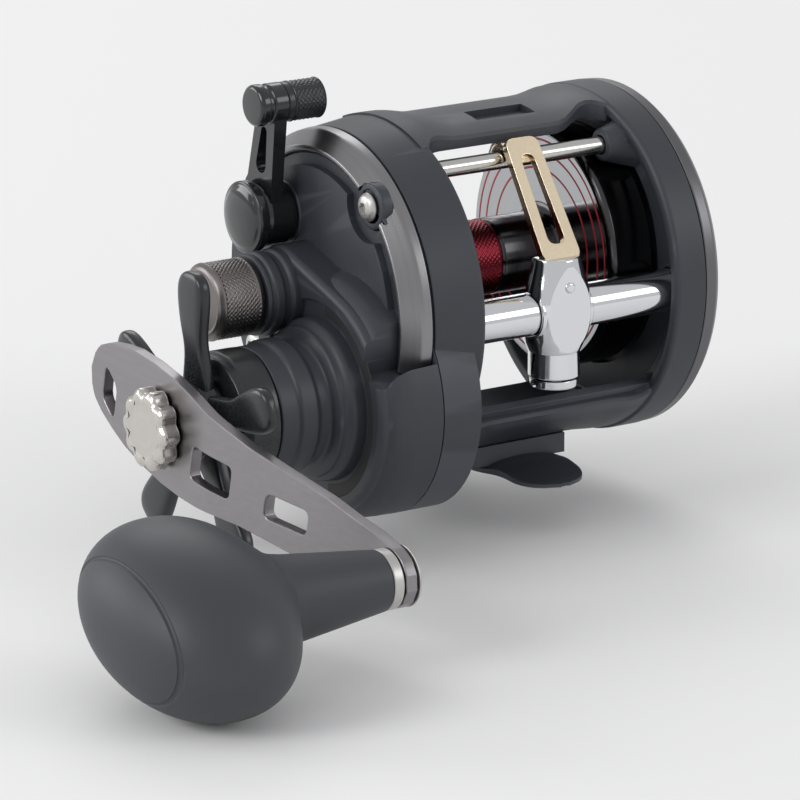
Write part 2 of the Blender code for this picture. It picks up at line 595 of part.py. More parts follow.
def make_handle():
    blade = bmesh.new()
    stops = (-31.0, -28.0, -22.0, -15.0, -8.0, 8.0, 18.0, 30.0, 42.0, 54.0, 70.0, CRANK_L, CRANK_L + 4.6,
             CRANK_L + 6.6)
    forward = Vector((0.0, -math.cos(CRANK_TILT), -math.sin(CRANK_TILT)))
    across = Vector((0.0, -math.sin(CRANK_TILT), math.cos(CRANK_TILT)))
    rows = []
    for along in stops:
        half = blade_half_width(along)
        row = []
        for side, depth in ((-1, -1), (1, -1), (1, 1), (-1, 1)):
            point = forward * along + across * half * side + Vector((depth * BLADE_T / 2, 0.0, 0.0))
            point.x += blade_x(along)
            row.append(blade.verts.new(point * MM))
        rows.append(row)
    for near, far in zip(rows, rows[1:]):
        for i in range(4):
            blade.faces.new((near[i], near[(i + 1) % 4], far[(i + 1) % 4], far[i]))
    blade.faces.new(rows[0][::-1])
    blade.faces.new(rows[-1])
    bmesh.ops.recalc_face_normals(blade, faces=blade.faces)
    mesh = bpy.data.meshes.new("blade")
    blade.to_mesh(mesh)
    blade.free()
    arm = bpy.data.objects.new("blade", mesh)
    arm.location = (0.0, DRIVE[0] * MM, DRIVE[1] * MM)
    bpy.context.scene.collection.objects.link(arm)
    for along, side, reach, half, slant in BLADE_SLOTS:
        corners = [
            (-reach, -half - slant), (reach, -half + slant), (reach, half + slant), (-reach, half - slant),
        ]
        places = [forward * (along + a) + across * (side + b) for a, b in corners]
        cut(arm, prism([(DRIVE[0] + p.y, DRIVE[1] + p.z) for p in places], -100.0, -76.0))
    cut(arm, rod(-95.0, -89.0, 3.4, DRIVE, 20))
    cut(arm, rod(-86.0, -77.0, 2.6 + GAP, KNOB, 20))
    finish(arm, "handle_arm", "gunmetal")
    nut = [(DRIVE[0] + (8.7 + 0.45 * math.cos(10 * a)) * math.cos(a),
            DRIVE[1] + (8.7 + 0.45 * math.cos(10 * a)) * math.sin(a))
           for a in (math.tau * i / 60 for i in range(60))]
    nut_piece = cut(prism(nut, -98.4, -93.8), rod(-96.2, -93.0, 3.4, DRIVE, 20))
    finish(on_axis(nut_piece, DRIVE, -96.0), "handle_nut", "stainless")


GRIP = (19.8, 29.0, 18.2)    # half sizes of the oval grip: along its axis, along the crank, across it
GRIP_X = -130.8


def make_knob():
    outline = [
        (-77.6, 0.0), (-77.6, 5.0), (-78.6, 6.2), (-79.3, 6.2), (-79.3, 2.6), (-128.0, 2.6), (-128.0, 0.0),
    ]
    finish(turned(outline, KNOB, 20), "knob_spindle", "stainless")
    finish(tube(-85.4, -82.9, 6.6, 3.0, KNOB, 24), "knob_washer", "stainless")
    mesh = bpy.data.meshes.new("grip")
    work = bmesh.new()
    bmesh.ops.create_uvsphere(work, u_segments=20, v_segments=12, radius=1.0)
    bmesh.ops.scale(work, vec=Vector(GRIP) * MM, verts=work.verts)
    work.to_mesh(mesh)
    work.free()
    grip = bpy.data.objects.new("grip", mesh)
    grip.rotation_euler = (CRANK_TILT, 0.0, 0.0)
    grip.location = (GRIP_X * MM, KNOB[0] * MM, KNOB[1] * MM)
    bpy.context.scene.collection.objects.link(grip)
    outline = [(-85.7, 0.0), (-85.7, 6.6), (-108.0, 9.4), (-114.0, 12.4), (GRIP_X, 13.0), (GRIP_X, 0.0)]
    stem = turned(outline, KNOB, 24)
    join(grip, stem)
    cut(grip, rod(-128.6, -85.0, 3.0, KNOB, 16))
    finish(on_axis(grip, KNOB, -110.0), "knob", "slate_rubber")


def make_tension_knob():
    outline = [(-61.5, 0.0), (-61.5, 8.4), (-62.1, ARBOR_R), (-72.0, ARBOR_R), (-73.0, 8.0), (-73.4, 0.0)]
    finish(turned(outline, SPOOL, 28), "tension_knob", "gunmetal")


# Level wind

GUIDE_TOP = (-16.8, SEAT_H + 34.8)      # (y, z) of the line guide's upper end
GUIDE_FOOT = (-36.4, SEAT_H + 7.2)
PIN_Z = SEAT_H + 4.8    # height of the pin under the guide's foot


def make_level_wind():
    finish(rod(-WEB_OUT + 0.4, WEB_OUT - 0.4, ROD_R, ROD, 16), "guide_rod", "stainless")
    cover = tube(-WEB_OUT + 0.4, WEB_OUT - 0.4, TUBE_R, TUBE_R - 0.7, WORM, 28)
    slot = box((-22.0, WORM[0] - 1.2, WORM[1] - 6.0), (22.0, WORM[0] + 1.2, WORM[1]))
    finish(cut(cover, slot), "worm_tube", "chrome")
    outline = [(30.0, 0.0), (30.0, 3.4), (-30.4, 3.4), (-30.4, 1.5), (-34.4, 1.5), (-34.4, 0.0)]
    shaft = turned(outline, WORM, 20)
    finish(shaft, "worm_shaft", "brass")
    cog = prism(gear_outline(WORM, 12, 3.7, 0.6), -34.1, -32.7)
    cut(cog, rod(-35.0, -32.0, 1.8, WORM, 12))
    finish(on_axis(cog, WORM, -33.3), "worm_gear", "brass")
    idler = prism(gear_outline(IDLER, 44, 13.1, 0.7), -34.1, -32.7)
    cut(idler, rod(-35.0, -32.0, 1.7, IDLER, 12))
    finish(on_axis(idler, IDLER, -33.3), "idler_gear", "brass")


def make_carriage():
    body = rod(CARRIAGE_X - 6.5, CARRIAGE_X + 6.5, 7.2, WORM, 24)
    low = (CARRIAGE_X - 8.0, CARRIAGE_BACK, WORM[1] - 9.0)
    flange_side = box(low, (CARRIAGE_X + 8.0, -20.0, WORM[1] + 9.0))
    cut(body, flange_side)
    barrel = upright(WORM[1] - 15.0, WORM[1] - 4.0, 5.6, (CARRIAGE_X, WORM[0]), 20)
    head = box((CARRIAGE_X - 6.0, -39.4, WORM[1] + 2.0), (CARRIAGE_X + 6.0, -31.0, WORM[1] + 12.6))
    join(body, barrel, head)
    cut(body, rod(CARRIAGE_X - 8.0, CARRIAGE_X + 8.0, TUBE_R + GAP, WORM, 20))
    cut(body, upright(WORM[1] - 16.0, WORM[1] - 4.0, 3.3, (CARRIAGE_X, WORM[0]), 20))
    foot_slot = box((-5.3, -0.5, -0.8 - GAP), (5.3, 11.0, 0.8 + GAP))
    foot_slot.data.transform(Matrix.Translation(foot_slot.location))
    boolean(body, place_on_guide(foot_slot), "DIFFERENCE", "MANIFOLD")
    boolean(body, cross_pin_cutter(1.3 + GAP, -41.0, -36.8), "DIFFERENCE", "MANIFOLD")
    finish(body, "carriage", "chrome")
    pawl = upright(WORM[1] - 9.6, WORM[1] - 3.9, 1.0, (CARRIAGE_X, WORM[0]), 12)
    join(pawl, upright(WORM[1] - 11.6, WORM[1] - 7.0, 2.9, (CARRIAGE_X, WORM[0]), 16))
    finish(pawl, "pawl", "brass")
    cap = upright(WORM[1] - 16.6, WORM[1] - 12.0, 2.9, (CARRIAGE_X, WORM[0]), 16)
    join(cap, upright(WORM[1] - 17.4, WORM[1] - 15.3, 5.6, (CARRIAGE_X, WORM[0]), 20))
    finish(cap, "pawl_cap", "chrome")


def place_on_guide(obj):
    """Put a flat (x, length) shape at the guide's foot, leaning back to the guide rod."""
    lean = math.atan2(GUIDE_TOP[0] - GUIDE_FOOT[0], GUIDE_TOP[1] - GUIDE_FOOT[1])
    obj.rotation_euler = (math.pi / 2 - lean, 0.0, 0.0)
    obj.location = (CARRIAGE_X * MM, GUIDE_FOOT[0] * MM, GUIDE_FOOT[1] * MM)
    return obj


def cross_pin_cutter(radius, y0, y1):
    """A cylinder along Y through the carriage head."""
    pin = upright(y0, y1, radius, (0.0, 0.0), 12)
    pin.rotation_euler = (-math.pi / 2, 0.0, 0.0)
    pin.location = (CARRIAGE_X * MM, 0.0, PIN_Z * MM)
    return pin


def make_line_guide():
    """A long loop of flat wire that leans back to hook over the guide rod."""
    length = 33.6
    top_w, foot_w = 5.1, 4.6
    outline = arc((0.0, length - top_w), top_w, 0.0, 180.0, 10) + arc((0.0, foot_w), foot_w, 180.0, 360.0, 8)
    inside = arc((0.0, length - top_w), top_w - 2.4, 0.0, 180.0, 10)
    inside += arc((0.0, foot_w + 2.0), foot_w - 2.4, 180.0, 360.0, 8)
    loops = []
    for points, half in ((outline, 0.8), (inside, 2.0)):
        obj = curve_object(points, True, "2D")
        obj.data.fill_mode = "BOTH"
        obj.data.extrude = half * MM
        loops.append(solid_from_curve(place_on_guide(obj)))
    guide = cut(loops[0], loops[1])
    finish(guide, "line_guide", "gold_plate")
    pin = cross_pin_cutter(1.3, -39.8, -37.1)
    finish(pin, "guide_pin", "chrome")


def main():
    global PARTS, CUTTERS
    clear_scene()
    PARTS = bpy.data.collections.new("trolling_reel")
    CUTTERS = bpy.data.collections.new("cutters")
    for collection in (PARTS, CUTTERS):
        bpy.context.scene.collection.children.link(collection)
    make_materials()
    make_frame()
    make_foot()
    make_head_plate()
    make_trim_arc()
    make_tail_side()
    make_spool()
    make_drive()
    make_yoke_and_bridge()
    make_dog()
    make_lever()
    make_star()
    make_handle()
    make_knob()
    make_tension_knob()
    make_level_wind()
    make_carriage()
    make_line_guide()


main()
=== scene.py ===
"""Looks for the trolling reel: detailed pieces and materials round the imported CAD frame.

Sizes are in millimetres and are scaled to metres where meshes are made.  Places come from the CAD nodes.
The spool axis is X, the gear side is at -X, the level wind is in front at -Y, and the foot is below.
"""

import json
import math

import bmesh
import bpy
from mathutils import Matrix, Vector

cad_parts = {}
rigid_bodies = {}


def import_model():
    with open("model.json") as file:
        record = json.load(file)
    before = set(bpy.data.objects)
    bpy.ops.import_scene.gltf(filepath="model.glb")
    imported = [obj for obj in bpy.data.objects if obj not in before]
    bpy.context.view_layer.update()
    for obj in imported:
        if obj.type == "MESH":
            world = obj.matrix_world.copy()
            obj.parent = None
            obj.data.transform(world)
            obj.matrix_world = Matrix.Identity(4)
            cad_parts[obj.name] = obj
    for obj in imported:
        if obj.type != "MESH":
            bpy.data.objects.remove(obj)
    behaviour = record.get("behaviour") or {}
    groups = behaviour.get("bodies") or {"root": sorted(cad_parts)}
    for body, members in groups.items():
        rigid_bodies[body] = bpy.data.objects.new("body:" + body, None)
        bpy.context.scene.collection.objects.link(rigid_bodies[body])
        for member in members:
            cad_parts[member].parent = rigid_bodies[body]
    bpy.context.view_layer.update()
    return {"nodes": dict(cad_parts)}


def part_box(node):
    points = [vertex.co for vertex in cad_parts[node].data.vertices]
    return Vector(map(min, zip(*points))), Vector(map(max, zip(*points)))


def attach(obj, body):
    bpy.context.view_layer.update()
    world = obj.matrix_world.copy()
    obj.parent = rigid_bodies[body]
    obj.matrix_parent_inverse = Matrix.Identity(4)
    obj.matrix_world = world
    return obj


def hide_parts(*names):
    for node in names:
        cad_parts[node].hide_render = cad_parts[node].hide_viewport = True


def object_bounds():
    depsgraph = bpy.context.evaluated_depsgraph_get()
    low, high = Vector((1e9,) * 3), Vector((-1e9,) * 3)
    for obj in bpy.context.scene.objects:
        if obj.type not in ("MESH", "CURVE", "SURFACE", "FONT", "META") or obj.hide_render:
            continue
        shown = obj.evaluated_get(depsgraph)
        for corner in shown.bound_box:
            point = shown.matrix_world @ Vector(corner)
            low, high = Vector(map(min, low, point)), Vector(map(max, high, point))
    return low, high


MM = 0.001
WELD = 0.01                          # points closer than this are merged
FIT = 0.3                            # gap round rods and tubes in their bores
SPOOL_CLEAR = 28.8                   # radius kept free of the frame for the spool

for leftover in list(bpy.data.objects):
    bpy.data.objects.remove(leftover, do_unlink=True)
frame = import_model()
NODES = frame["nodes"]


class Place:
    """Ends, centre and radius of a CAD node, in millimetres."""

    def __init__(self, node):
        low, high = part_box(node)
        self.x0, self.x1 = low.x / MM, high.x / MM
        self.y0, self.y1 = low.y / MM, high.y / MM
        self.z0, self.z1 = low.z / MM, high.z / MM
        self.x = (self.x0 + self.x1) / 2
        self.y = (self.y0 + self.y1) / 2
        self.z = (self.z0 + self.z1) / 2
        self.r = (self.y1 - self.y0) / 2
        self.axis = (self.y, self.z)


# Places

TAIL_RIM = Place("tail_rim")
RING = TAIL_RIM.axis
SPOOL_BOX = Place("spool")
SPOOL = SPOOL_BOX.axis
BOSS = Place("bearing_boss")
DRIVE = BOSS.axis
TUBE = Place("worm_tube")
WORM = TUBE.axis
GUIDE_ROD = Place("guide_rod")
ROD = GUIDE_ROD.axis
CAP = Place("lever_cap")
LEVER = CAP.axis
LEVER_GRIP = Place("lever_knob")
LEVER_KNOB = LEVER_GRIP.axis
WASHER = Place("knob_washer")
KNOB = WASHER.axis
TENSION = Place("tension_knob")
SLEEVE = Place("arbor_sleeve")
NUT = Place("handle_nut")
PLATE_BOX = Place("head_plate")
FOOT_BOX = Place("foot")
SEAT = RING[1]                       # height of the ring axis above the foot's underside
CARRIAGE_X = Place("pawl").x
CASE_R = 28.0
CRANK = Vector((0.0, KNOB[0] - DRIVE[0], KNOB[1] - DRIVE[1]))
FORWARD = CRANK.normalized()
ACROSS = Vector((0.0, FORWARD.z, -FORWARD.y))


# Mesh tools

def on_x(axis):
    """Local X along world X, through (y, z)."""
    return Matrix.Translation((0.0, axis[0], axis[1]))


def on_z(x, y):
    """Local X along world Z, through (x, y)."""
    return Matrix(((0, 1, 0, x), (0, 0, 1, y), (1, 0, 0, 0), (0, 0, 0, 1)))


def on_y(x, z):
    """Local X along world Y, through (x, z)."""
    return Matrix(((0, 0, 1, x), (1, 0, 0, 0), (0, 1, 0, z), (0, 0, 0, 1)))


def to_object(work):
    bmesh.ops.recalc_face_normals(work, faces=work.faces)
    bmesh.ops.scale(work, vec=(MM, MM, MM), verts=work.verts)
    mesh = bpy.data.meshes.new("piece")
    work.to_mesh(mesh)
    work.free()
    obj = bpy.data.objects.new("piece", mesh)
    bpy.context.scene.collection.objects.link(obj)
    return obj


def rounded(points, steps=4):
    """Profile of (x, r) points in which a third number rounds that corner."""
    result = []
    for index, point in enumerate(points):
        if len(point) < 3 or index in (0, len(points) - 1):
            result.append(tuple(point[:2]))
            continue
        here = Vector(point[:2])
        before = Vector(points[index - 1][:2]) - here
        after = Vector(points[index + 1][:2]) - here
        reach = min(point[2], before.length * 0.49, after.length * 0.49)
        start = here + before.normalized() * reach
        end = here + after.normalized() * reach
        for step in range(steps + 1):
            t = step / steps
            result.append(tuple(start * (1 - t) ** 2 + here * (2 * t * (1 - t)) + end * t * t))
    return result


def lathe(outline, place, steps=96, ring=False, ripple=None):
    """Turn an (x, r) outline about a local X axis. ripple(x, angle, r) gives another radius."""
    work = bmesh.new()
    rows = []
    for x, r in outline:
        if r < 0.0001:
            rows.append([work.verts.new(place @ Vector((x, 0.0, 0.0)))])
            continue
        row = []
        for step in range(steps):
            angle = math.tau * step / steps
            reach = ripple(x, angle, r) if ripple else r
            row.append(work.verts.new(place @ Vector((x, reach * math.cos(angle), reach * math.sin(angle)))))
        rows.append(row)
    pairs = list(zip(rows, rows[1:]))
    if ring:
        pairs.append((rows[-1], rows[0]))
    for near, far in pairs:
        if len(near) == 1 and len(far) == 1:
            continue
        for step in range(steps):
            after = (step + 1) % steps
            corners = [near[step % len(near)], near[after % len(near)], far[after % len(far)],
                       far[step % len(far)]]
            work.faces.new(list(dict.fromkeys(corners)))
    return to_object(work)


def turned(outline, axis, steps=96, corner=4, **more):
    """Turn an (x, r) outline with rounded corners about the X axis through (y, z)."""
    return lathe(rounded(outline, corner), on_x(axis), steps, **more)


def rod(x0, x1, radius, axis, steps=64, edge=0.0):
    outline = [(x1, 0.0), (x1, radius, edge), (x0, radius, edge), (x0, 0.0)]
    if not edge:
        outline = [p[:2] for p in outline]
    return turned(outline, axis, steps)


def arc(centre, radius, start, end, count):
    """Points on an arc, with angles in degrees from +Y towards +Z."""
    angles = [math.radians(start + (end - start) * i / count) for i in range(count + 1)]
    return [(centre[0] + radius * math.cos(a), centre[1] + radius * math.sin(a)) for a in angles]


def circle(centre, radius, count):
    return arc(centre, radius, 0.0, 360.0, count)[:-1]


def hull_of_circles(first, r1, second, r2, count=24):
    direction = math.degrees(math.atan2(second[1] - first[1], second[0] - first[0]))
    distance = math.hypot(second[1] - first[1], second[0] - first[0])
    spread = math.degrees(math.acos((r1 - r2) / distance))
    near = arc(first, r1, direction + spread, direction + 360.0 - spread, count)
    far = arc(second, r2, direction - spread, direction + spread, count)
    return near + far


def sector(centre, inner, outer, start, end, count):
    return arc(centre, outer, start, end, count) + arc(centre, inner, end, start, count)


def prism(outline, x0, x1, place=None):
    """Extrude a closed (y, z) outline along X."""
    work = bmesh.new()
    place = place or Matrix.Identity(4)
    low = [work.verts.new(place @ Vector((x0, y, z))) for y, z in outline]
    high = [work.verts.new(place @ Vector((x1, y, z))) for y, z in outline]
    work.faces.new(low)
    work.faces.new(high[::-1])
    for i in range(len(outline)):
        j = (i + 1) % len(outline)
        work.faces.new((low[i], high[i], high[j], low[j]))
    return to_object(work)


def box(low, high):
    outline = [(low[1], low[2]), (high[1], low[2]), (high[1], high[2]), (low[1], high[2])]
    return prism(outline, low[0], high[0])


def loft(rows):
    """Skin a list of equal rings of points and cap its ends."""
    work = bmesh.new()
    rings = [[work.verts.new(point) for point in row] for row in rows]
    for near, far in zip(rings, rings[1:]):
        for i in range(len(near)):
            j = (i + 1) % len(near)
            work.faces.new((near[i], near[j], far[j], far[i]))
    work.faces.new(rings[0])
    work.faces.new(rings[-1][::-1])
    return to_object(work)


def arc_sweep(section, centre, start, end, count):
    """Sweep a closed (x, r) section along an arc about an X axis."""
    rows = []
    for i in range(count + 1):
        angle = math.radians(start + (end - start) * i / count)
        rows.append([(x, centre[0] + r * math.cos(angle),
                      centre[1] + r * math.sin(angle)) for x, r in section])
    return loft(rows)


def apply(obj):
    """Turn an object's modifiers into its mesh."""
    bpy.context.view_layer.update()
    graph = bpy.context.evaluated_depsgraph_get()
    mesh = bpy.data.meshes.new_from_object(obj.evaluated_get(graph), depsgraph=graph)
    old = obj.data
    obj.modifiers.clear()
    obj.data = mesh
    bpy.data.meshes.remove(old)
    return obj


def boolean(obj, others, operation):
    for other in others:
        modifier = obj.modifiers.new("boolean", "BOOLEAN")
        modifier.operation = operation
        modifier.solver = "MANIFOLD"
        modifier.object = other
    apply(obj)
    for other in others:
        bpy.data.objects.remove(other, do_unlink=True)
    return obj


def cut(obj, *others):
    return boolean(obj, others, "DIFFERENCE")


def join(obj, *others):
    return boolean(obj, others, "UNION")


def gather(*objects):
    """Put several closed meshes in one object without a union."""
    work = bmesh.new()
    for obj in objects:
        work.from_mesh(obj.data)
        bpy.data.objects.remove(obj, do_unlink=True)
    bmesh.ops.scale(work, vec=(1 / MM,) * 3, verts=work.verts)
    return to_object(work)


def weld(obj):
    """Merge points that Booleans leave almost together."""
    work = bmesh.new()
    work.from_mesh(obj.data)
    bmesh.ops.remove_doubles(work, verts=work.verts, dist=WELD * MM)
    bmesh.ops.dissolve_degenerate(work, edges=work.edges, dist=WELD * MM)
    work.to_mesh(obj.data)
    work.free()
    return obj


def soften(obj, width, segments=3, angle=34.0):
    """Round the sharp edges of a mesh."""
    weld(obj)
    modifier = obj.modifiers.new("bevel", "BEVEL")
    modifier.width = width * MM
    modifier.segments = segments
    modifier.limit_method = "ANGLE"
    modifier.angle_limit = math.radians(angle)
    modifier.miter_outer = "MITER_ARC"
    modifier.harden_normals = False
    return apply(obj)


def piece(obj, name, body, look, *nodes, sharp=32.0):
    """Name a finished piece, give it its material, and let it ride on its body for its CAD nodes."""
    obj.name = name
    obj.data.name = name
    obj.data.materials.clear()
    obj.data.materials.append(bpy.data.materials[look])
    obj.data.shade_smooth()
    obj.data.set_sharp_from_angle(angle=math.radians(sharp))
    weighted = obj.modifiers.new("normals", "WEIGHTED_NORMAL")
    weighted.keep_sharp = True
    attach(obj, body)
    if nodes:
        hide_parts(*nodes)
    return obj


# Materials


def material(name, colour, metallic, roughness, grain=1600.0, bump=0.15, spread=0.06, shade=0.12,
             coat=0.0, turned_about=None, stretch=(1.0, 1.0, 1.0), wear=0.0, blotch=45.0):
    """A finish with fine grain in its colour, bump and roughness, slow changes of roughness, and edges a
    little worn.

    turned_about is the (y, z) of an axis parallel to X: the grain then runs round it as lathe marks do.
    """
    made = bpy.data.materials.new(name)
    made.use_nodes = True
    tree = made.node_tree
    shader = tree.nodes["Principled BSDF"]
    shader.inputs["Metallic"].default_value = metallic
    shader.inputs["Coat Weight"].default_value = coat
    shader.inputs["Coat Roughness"].default_value = 0.12
    link = tree.links.new
    coords = tree.nodes.new("ShaderNodeTexCoord").outputs["Object"]
    fine_in = coords
    if turned_about is not None:
        split = tree.nodes.new("ShaderNodeSeparateXYZ")
        link(coords, split.inputs[0])
        offsets = []
        for axis, centre in zip("YZ", turned_about):
            shift = tree.nodes.new("ShaderNodeMath")
            shift.operation = "SUBTRACT"
            link(split.outputs[axis], shift.inputs[0])
            shift.inputs[1].default_value = centre * MM
            offsets.append(shift.outputs[0])
        flat = tree.nodes.new("ShaderNodeCombineXYZ")
        link(offsets[0], flat.inputs[0])
        link(offsets[1], flat.inputs[1])
        length = tree.nodes.new("ShaderNodeVectorMath")
        length.operation = "LENGTH"
        link(flat.outputs[0], length.inputs[0])
        rings = tree.nodes.new("ShaderNodeCombineXYZ")
        link(split.outputs["X"], rings.inputs[0])
        link(length.outputs["Value"], rings.inputs[1])
        fine_in = rings.outputs[0]
    mapping = tree.nodes.new("ShaderNodeMapping")
    mapping.inputs["Scale"].default_value = stretch
    link(fine_in, mapping.inputs["Vector"])
    fine = tree.nodes.new("ShaderNodeTexNoise")
    fine.inputs["Scale"].default_value = grain
    fine.inputs["Detail"].default_value = 3.0
    link(mapping.outputs[0], fine.inputs["Vector"])
    slow = tree.nodes.new("ShaderNodeTexNoise")
    slow.inputs["Scale"].default_value = blotch
    slow.inputs["Detail"].default_value = 2.0
    link(coords, slow.inputs["Vector"])
    both = tree.nodes.new("ShaderNodeMath")
    both.operation = "MULTIPLY_ADD"
    link(fine.outputs["Fac"], both.inputs[0])
    both.inputs[1].default_value = 0.5
    link(slow.outputs["Fac"], both.inputs[2])
    rough = tree.nodes.new("ShaderNodeMapRange")
    rough.inputs["From Min"].default_value = 0.45
    rough.inputs["From Max"].default_value = 1.05
    rough.inputs["To Min"].default_value = max(0.02, roughness - spread)
    rough.inputs["To Max"].default_value = min(1.0, roughness + spread)
    link(both.outputs[0], rough.inputs["Value"])
    link(rough.outputs[0], shader.inputs["Roughness"])
    tint = tree.nodes.new("ShaderNodeMix")
    tint.data_type = "RGBA"
    tint.inputs["A"].default_value = (*[c * (1 - shade) for c in colour], 1.0)
    tint.inputs["B"].default_value = (*[min(1.0, c * (1 + shade)) for c in colour], 1.0)
    link(fine.outputs["Fac"], tint.inputs["Factor"])
    colour_out = tint.outputs["Result"]
    if wear:
        edges = tree.nodes.new("ShaderNodeNewGeometry")
        worn = tree.nodes.new("ShaderNodeMapRange")
        worn.inputs["From Min"].default_value = 0.53
        worn.inputs["From Max"].default_value = 0.62
        worn.inputs["To Min"].default_value = 0.0
        worn.inputs["To Max"].default_value = wear
        link(edges.outputs["Pointiness"], worn.inputs["Value"])
        light = tree.nodes.new("ShaderNodeMix")
        light.data_type = "RGBA"
        link(worn.outputs[0], light.inputs["Factor"])
        link(colour_out, light.inputs["A"])
        light.inputs["B"].default_value = (*[min(1.0, c * 2.2 + 0.02) for c in colour], 1.0)
        colour_out = light.outputs["Result"]
    link(colour_out, shader.inputs["Base Color"])
    relief = tree.nodes.new("ShaderNodeBump")
    relief.inputs["Strength"].default_value = bump
    relief.inputs["Distance"].default_value = 0.00004
    link(fine.outputs["Fac"], relief.inputs["Height"])
    link(relief.outputs[0], shader.inputs["Normal"])
    return made


def make_materials():
    material("graphite", (0.033, 0.037, 0.046), 0.0, 0.46, bump=0.35, wear=0.35)
    material("case_band", (0.020, 0.020, 0.022), 0.0, 0.62, bump=0.1)
    material("handle_metal", (0.30, 0.285, 0.295), 1.0, 0.36, stretch=(1.0, 0.06, 0.6), bump=0.22,
        shade=0.10)
    material("trim_metal", (0.27, 0.266, 0.276), 1.0, 0.30, turned_about=RING, grain=2600.0,
        bump=0.25, shade=0.12)
    material("rim_metal", (0.16, 0.158, 0.166), 1.0, 0.34, turned_about=RING, grain=3200.0,
        bump=0.4, shade=0.25)
    material("knurl_metal", (0.200, 0.184, 0.178), 1.0, 0.34, bump=0.12, shade=0.15)
    material("gloss", (0.011, 0.012, 0.014), 0.0, 0.17, bump=0.04, spread=0.04, coat=0.35)
    material("satin_black", (0.015, 0.017, 0.020), 0.0, 0.30, bump=0.10, coat=0.1)
    material("dish_black", (0.070, 0.070, 0.074), 1.0, 0.16, turned_about=SPOOL, bump=0.05)
    material("mirror_flange", (0.42, 0.43, 0.44), 1.0, 0.09, turned_about=SPOOL,
        grain=2600.0, bump=0.06, spread=0.03)
    material("red", (0.19, 0.020, 0.030), 1.0, 0.30, bump=0.08)
    material("red_line", (0.45, 0.012, 0.03), 0.0, 0.35, bump=0.02)
    material("stainless", (0.62, 0.60, 0.57), 1.0, 0.20, bump=0.08, spread=0.05)
    material("nut_metal", (0.60, 0.575, 0.54), 1.0, 0.27, turned_about=DRIVE, grain=2400.0,
        bump=0.2)
    material("rod_metal", (0.60, 0.59, 0.57), 1.0, 0.19, turned_about=ROD, grain=2500.0,
        bump=0.06)
    material("chrome", (0.80, 0.81, 0.83), 1.0, 0.05, bump=0.015, spread=0.015, shade=0.03)
    material("gold", (0.90, 0.76, 0.56), 1.0, 0.20, bump=0.05, spread=0.04, shade=0.04)
    material("brass", (0.62, 0.42, 0.16), 1.0, 0.28, bump=0.1)
    material("steel", (0.42, 0.42, 0.43), 1.0, 0.33, bump=0.1)
    material("carbon", (0.03, 0.03, 0.03), 0.0, 0.55, grain=2800.0, bump=0.4,
        stretch=(1.0, 0.2, 1.0))
    material("rubber", (0.040, 0.044, 0.051), 0.0, 0.50, grain=3600.0, bump=0.45, shade=0.10,
        blotch=25.0)
    material("dark_screw", (0.10, 0.10, 0.105), 1.0, 0.28, bump=0.1)


# Frame

def bar(start, end, inner, outer, crest, reach_low, reach_high, count=14, recede=0.0):
    """Crossbar between the rings whose ends spread into shoulders.

    It runs between two angles from +Y towards +Z, and its outer radius rises to crest at both rings.
    Its far edge draws back by the recede angle near the tail ring.
    """
    rows = []
    stations = [-28.0, -26.0, -25.0, -24.2, -23.2, -22.0, -20.5, -19.0, -17.0, -14.0]
    stations += [9.0, 11.5, 14.0, 17.0, 19.0, 20.5, 22.0, 23.2, 24.2, 25.0, 26.0, 28.0]
    for x in stations:
        near = max(0.0, min(1.0, (25.2 - abs(x)) / 5.0))
        fillet = 1.0 - math.sqrt(max(0.0, 1.0 - (1.0 - near) ** 2))
        slope = max(0.0, min(1.0, (abs(x) - 15.0) / 9.0))
        rise = slope * slope * (3 - 2 * slope)
        top = outer + (crest - outer) * rise
        low = start - reach_low * fillet
        back = max(0.0, min(1.0, (x - 11.0) / 11.0))
        high = end + reach_high * fillet - recede * back * back * (3 - 2 * back)
        edge = 0.7
        ring = arc(RING, top - edge, low, low, 1)[:1]
        ring += arc(RING, top, low + 1.0, high - 1.0, count)
        ring += arc(RING, top - edge, high, high, 1)[:1]
        ring += arc(RING, inner, high, low, count)
        rows.append([(x, y, z) for y, z in ring])
    return loft(rows)


def ring_wall(outline):
    return turned(outline, RING, 144, ring=True)


